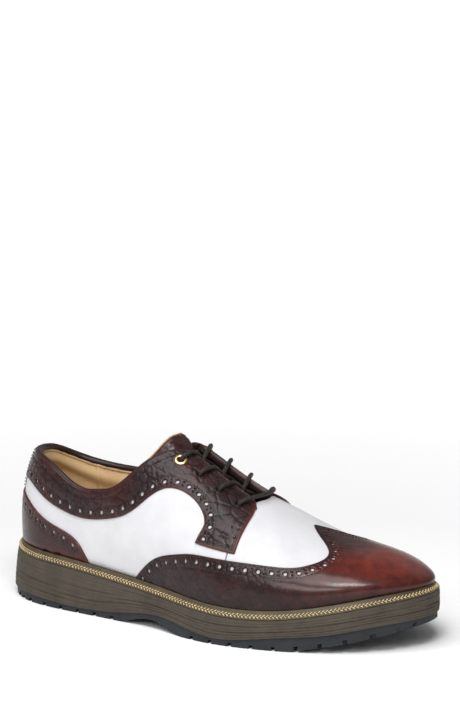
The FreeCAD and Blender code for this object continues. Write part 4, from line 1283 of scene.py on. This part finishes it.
def midsole():
    turn = np.linspace(-1, 1, 560, endpoint=False)[:, None]
    away = np.abs(turn)
    s = np.concatenate([[0.0], np.linspace(0.012, 0.988, 76), [1.0]])[None]
    slant = 0.10 * (1 - smooth(0.34, 0.44, away)) * smooth(0.05, 0.36, away)
    groove = 0.10 * np.sin(s * 55 + 3 * np.sin(away * 12))
    for level, width, depth in GROOVES:
        fade = 0.55 + 0.45 * np.sin(away * 23 + level * 19)
        groove = groove + depth * fade * bell(s - level - slant * math.sin(math.pi * level), width)
    ends = 0.9 * (1 - quarter_round(np.minimum(s, 1 - s), 0.03))
    top_reach, low_reach = tucked(turn, 6.5), 6.9 - 0.3 * smooth(0.85, 1.0, away)
    wall = top_reach + (low_reach - top_reach) * s ** 0.8 + 0.35 * np.sin(math.pi * s)
    wall = wall - groove * smooth(0.02, 0.10, s) - ends
    inner = np.full((len(turn), 1), -4.0)
    share = np.concatenate([[[0.0]], s, [[1.0]]], axis=1)
    x, y = reached_plan(turn, np.concatenate([inner, wall, inner], axis=1))
    low, high = rubber_top(x) + 0.02, feather(x) - WELT_THICKNESS - 0.02
    rings = together(x, y, high + (low - high) * share)
    adopt(sweep("midsole_wall", rings, MIDSOLE, True, True), "shoe", "midsole_foam", "midsole")


# ------------------------------------------------------------------ insides that lift out
def footbed():
    turn = np.linspace(-1, 1, 360, endpoint=False)
    share = np.r_[np.linspace(1, 0.93, 9), np.linspace(0.88, 0.0, 16)]
    depth = 1 - share
    top_x = ridge_foot(plan(turn)[0])
    spine = together(top_x, ridge_y(top_x) + 2)
    rim = together(*reached_plan(turn, -6.7))
    flat = spine[:, None] + (rim - spine)[:, None] * share[None, :, None]
    hollow = 0.5 * bell(flat[..., 0] - 60, 30) * smooth(0.1, 0.6, depth)[None]
    raised = 1.1 * quarter_round(depth, 0.03) + 0.56 * bell(depth - 0.03, 0.05)
    z = feather(flat[..., 0]) + 0.4 + 3.6 + raised[None] - hollow
    z = z - 1.9 * (1 - smooth(21.5, 22.6, np.hypot(flat[..., 0] + 102, flat[..., 1])))
    under = np.stack([spine, flat[:, 0]], axis=1)
    x, y = np.concatenate([under, flat], axis=1).transpose(2, 0, 1)
    rings = together(x, y, np.concatenate([feather(under[..., 0]) + 0.45, z], axis=1))
    faces = quads(*rings.shape[:2], True, False, True)
    obj = add_mesh("footbed_foam", rings.reshape(-1, 3), faces, COVER)
    adopt(obj, "insert", "footbed_cover", "footbed")


CUSHION_X = -102.0
CUSHION_PROFILE = [(0.001, -0.1), (6, -0.12), (12, -0.15), (17, -0.18), (20.4, -0.25),
                   (21.4, -0.5), (21.7, -1.0), (21.6, -1.85), (0.001, -1.85)]


def heel_cushion():
    tilt = float(feather(CUSHION_X + 1) - feather(CUSHION_X - 1)) / 2
    centre = np.array([CUSHION_X, 0.0, float(feather(CUSHION_X)) + 5.4])
    points, faces = lathe(centre, np.array([-tilt, 0, 1.0]), CUSHION_PROFILE, 64)
    adopt(add_mesh("heel_cushion", points, faces, GEL), "insert", "gel", "heel_pad")


# ------------------------------------------------------------------ eyelets and lace
GOLD_PROFILE = [(1.95, -3.6), (2.5, -3.6), (2.5, 1.3), (3.9, 1.35), (4.15, 1.55), (4.1, 1.85),
                (3.6, 2.15), (2.9, 2.25), (2.3, 2.1), (1.98, 1.7)]
BLIND_PROFILE = [(2.0, -3.6), (2.45, -3.6), (2.45, 1.1), (2.3, 1.3), (2.05, 1.15)]
AGLET_PROFILE = [(0.001, -2.0), (1.45, -2.0), (1.55, -1.6), (1.6, 0), (1.6, 12.5), (1.35, 13.8),
                 (0.8, 14.0), (0.001, 14.0)]
ABOVE = OVERLAY_TOP + LACE_RADIUS + 1.6
BELOW = LINING_INNER - LACE_RADIUS - 0.6


def eyelet_frame(side, number):
    turn = side * EYELET_TURNS[number - 1]
    return skin(turn, EYELET_HEIGHT), normal(turn, EYELET_HEIGHT)


def eyelets():
    for name, numbers, profile, sides, material, slot, node in (
            ("gold_eyelets", (1,), GOLD_PROFILE, 40, GOLD, "gold_brass", "top_eyelets"),
            ("blind_eyelet_tubes", (2, 3, 4), BLIND_PROFILE, 28, BLACK_METAL, "dark_metal",
             "blind_eyelets")):
        parts = [lathe(*eyelet_frame(side, number), profile, sides)
                 for side in (-1, 1) for number in numbers]
        adopt(joined(name, parts, material), "shoe", slot, node)


def through_eyelet(side, number, downwards):
    centre, out = eyelet_frame(side, number)
    ends = [centre + out * ABOVE, centre + out * BELOW]
    return ends if downwards else ends[::-1]


def crossing(side, number, over):
    """Points from under one facing, over or under the middle, to above the other's next row."""
    turn, next_turn = EYELET_TURNS[number - 1], EYELET_TURNS[number - 2]
    under = layer(side * (turn * 0.72 + next_turn * 0.28), 0.88, BELOW - 0.4)
    above = layer(-side * (turn * 0.25 + next_turn * 0.75), 0.885, ABOVE - 0.1)
    middle = (under + above) * 0.5 + np.array((0.2, 0, 1)) * (1.5 if over else -1.7)
    return [under, middle, above]


def tucked_end(side):
    turn = side * EYELET_TURNS[0]
    return [layer(turn - side * away, height, BELOW - sink)
            for away, height, sink in ((0.002, 0.65, 0.3), (0.006, 0.55, 0.9), (0.010, 0.45, 2.2))]


def lace_route():
    route = tucked_end(1)[::-1] + through_eyelet(1, 1, False)
    for side, number in ((-1, 2), (1, 3), (-1, 4)):
        route += crossing(side, number, side < 0)[::-1] + through_eyelet(side, number, False)
    bar = float(turn_at(37))
    route += [layer(side * bar, 0.93, ABOVE + 0.6) for side in (-1, 1)]
    for side, number in ((1, 4), (-1, 3), (1, 2)):
        route += through_eyelet(side, number, True) + crossing(side, number, side < 0)
    return route + through_eyelet(-1, 1, True) + tucked_end(-1)


def spline_points(route):
    """Points along a smooth NURBS through the route's control points, in millimetres."""
    curve = bpy.data.curves.new("route", "CURVE")
    curve.dimensions = "3D"
    spline = curve.splines.new("NURBS")
    spline.points.add(len(route) - 1)
    for point, spot in zip(spline.points, route):
        point.co = (*spot, 1.0)
    spline.order_u = 3
    spline.use_endpoint_u = True
    spline.resolution_u = 14
    obj = new_object("route", curve)
    bpy.context.view_layer.update()
    graph = bpy.context.evaluated_depsgraph_get()
    mesh = bpy.data.meshes.new_from_object(obj.evaluated_get(graph))
    points = np.array([tuple(v.co) for v in mesh.vertices])
    bpy.data.objects.remove(obj)
    bpy.data.meshes.remove(mesh)
    return points


def lace():
    line = spline_points(lace_route())
    run = run_of(line)
    keep = np.r_[True, np.diff(run) > 1e-6]
    line, run = line[keep], run[keep]
    at = np.linspace(0, run[-1], int(run[-1] / 0.42))
    angle = circle(16)[None]
    phase = at[:, None] * 2 * math.pi / 5.2
    braid = np.maximum(np.abs(np.sin(2 * angle + phase)), np.abs(np.sin(2 * angle - phase)))
    rings = tube_rings(at_run(at, run, line), LACE_RADIUS * (0.93 + 0.10 * braid), 16)
    adopt(sweep("lace", rings, LACE, flip=True), "shoe", "lace_cotton", "shoelace")
    tips = [lathe(end, unit(end - before), AGLET_PROFILE, 24)
            for end, before in ((line[0], line[12]), (line[-1], line[-13]))]
    adopt(joined("lace_tips", tips, AGLET), "shoe", "aglet_plastic", "aglets")


# ------------------------------------------------------------------ make everything
for make in (quarters, vamp, wing, collar, foxing, backstay, binding, lining, facing_edges_and_shade_backing,
             collar_foam, tongue, welt, midsole, footbed, heel_cushion, eyelets, lace):
    make()
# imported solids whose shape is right, with their materials
for name, material in (("outsole", RUBBER), ("insole_board", BOARD), ("bottom_filler", CORK),
                       ("shank", STEEL), ("vamp_interlining", CLOTH), ("vamp_lining", TAN),
                       ("facing_stay_lateral", CLOTH), ("facing_stay_medial", CLOTH),
                       ("heel_counter", STIFFENER)):
    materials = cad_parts[name].data.materials
    materials.clear()
    materials.append(material)

# ------------------------------------------------------------------ floor and light
floor_mesh = bpy.data.meshes.new("floor")
corners = [(-60, -60, 0), (60, -60, 0), (60, 60, 0), (-60, 60, 0)]
floor_mesh.from_pydata(corners, [], [(0, 1, 2, 3)])
floor = new_object("floor", floor_mesh)
paper = Shader("floor_paper", 0.9, Specular_IOR_Level=0.1, Emission_Color=(1.0, 1.0, 1.0))
# the paper glows a little away from the shoe, so that the background stays white
away = paper.node("VectorMath", [("operation", "LENGTH")], Vector=paper.space).outputs["Value"]
paper.principled(
    Base_Color=paper.mix(paper.noise(3, 2), (0.92, 0.92, 0.92), (0.94, 0.94, 0.94)),
    Emission_Strength=paper.span(away, 0.3, 1.2, 0.0, 0.46))
floor_mesh.materials.append(paper.material)


def area_light(name, position, target, size, power):
    data = bpy.data.lights.new(name, "AREA")
    data.shape = "RECTANGLE"
    data.size, data.size_y = size
    data.energy = power
    light = new_object(name, data)
    light.location = position
    aim(light, Vector(position) - Vector(target))


area_light("key", (0.22, -1.05, 0.62), (0.05, 0, 0.05), (0.52, 0.30), 3.5)
area_light("toe_light", (0.36, -0.52, 0.86), (0.11, -0.03, 0.05), (0.34, 0.28), 4.4)
area_light("rim", (-0.3, 1.1, 0.8), (0, 0, 0.05), (1.2, 0.5), 0.25)
sky = bpy.data.lights.new("overhead", "SUN")
sky.energy, sky.angle = 1.80, math.radians(45)
aim(new_object("overhead", sky), Vector((-0.15, -0.38, 0.9)))

# the world is bright at the horizon and dimmer above
world = bpy.data.worlds.new("world")
bpy.context.scene.world = world
world.use_nodes = True
nodes, links = world.node_tree.nodes, world.node_tree.links
direction, split, fall = (nodes.new("ShaderNode" + kind)
                          for kind in ("TexCoord", "SeparateXYZ", "MapRange"))
fall.interpolation_type = "SMOOTHSTEP"
for socket, value in (("From Min", 0.0), ("From Max", 0.35), ("To Min", 0.48), ("To Max", 0.22)):
    fall.inputs[socket].default_value = value
links.new(direction.outputs["Generated"], split.inputs[0])
links.new(split.outputs["Z"], fall.inputs["Value"])
links.new(fall.outputs["Result"], nodes["Background"].inputs["Strength"])
nodes["Background"].inputs["Color"].default_value = (1, 1, 1, 1)
bpy.context.scene.view_settings.view_transform = "Standard"

bpy.context.view_layer.update()
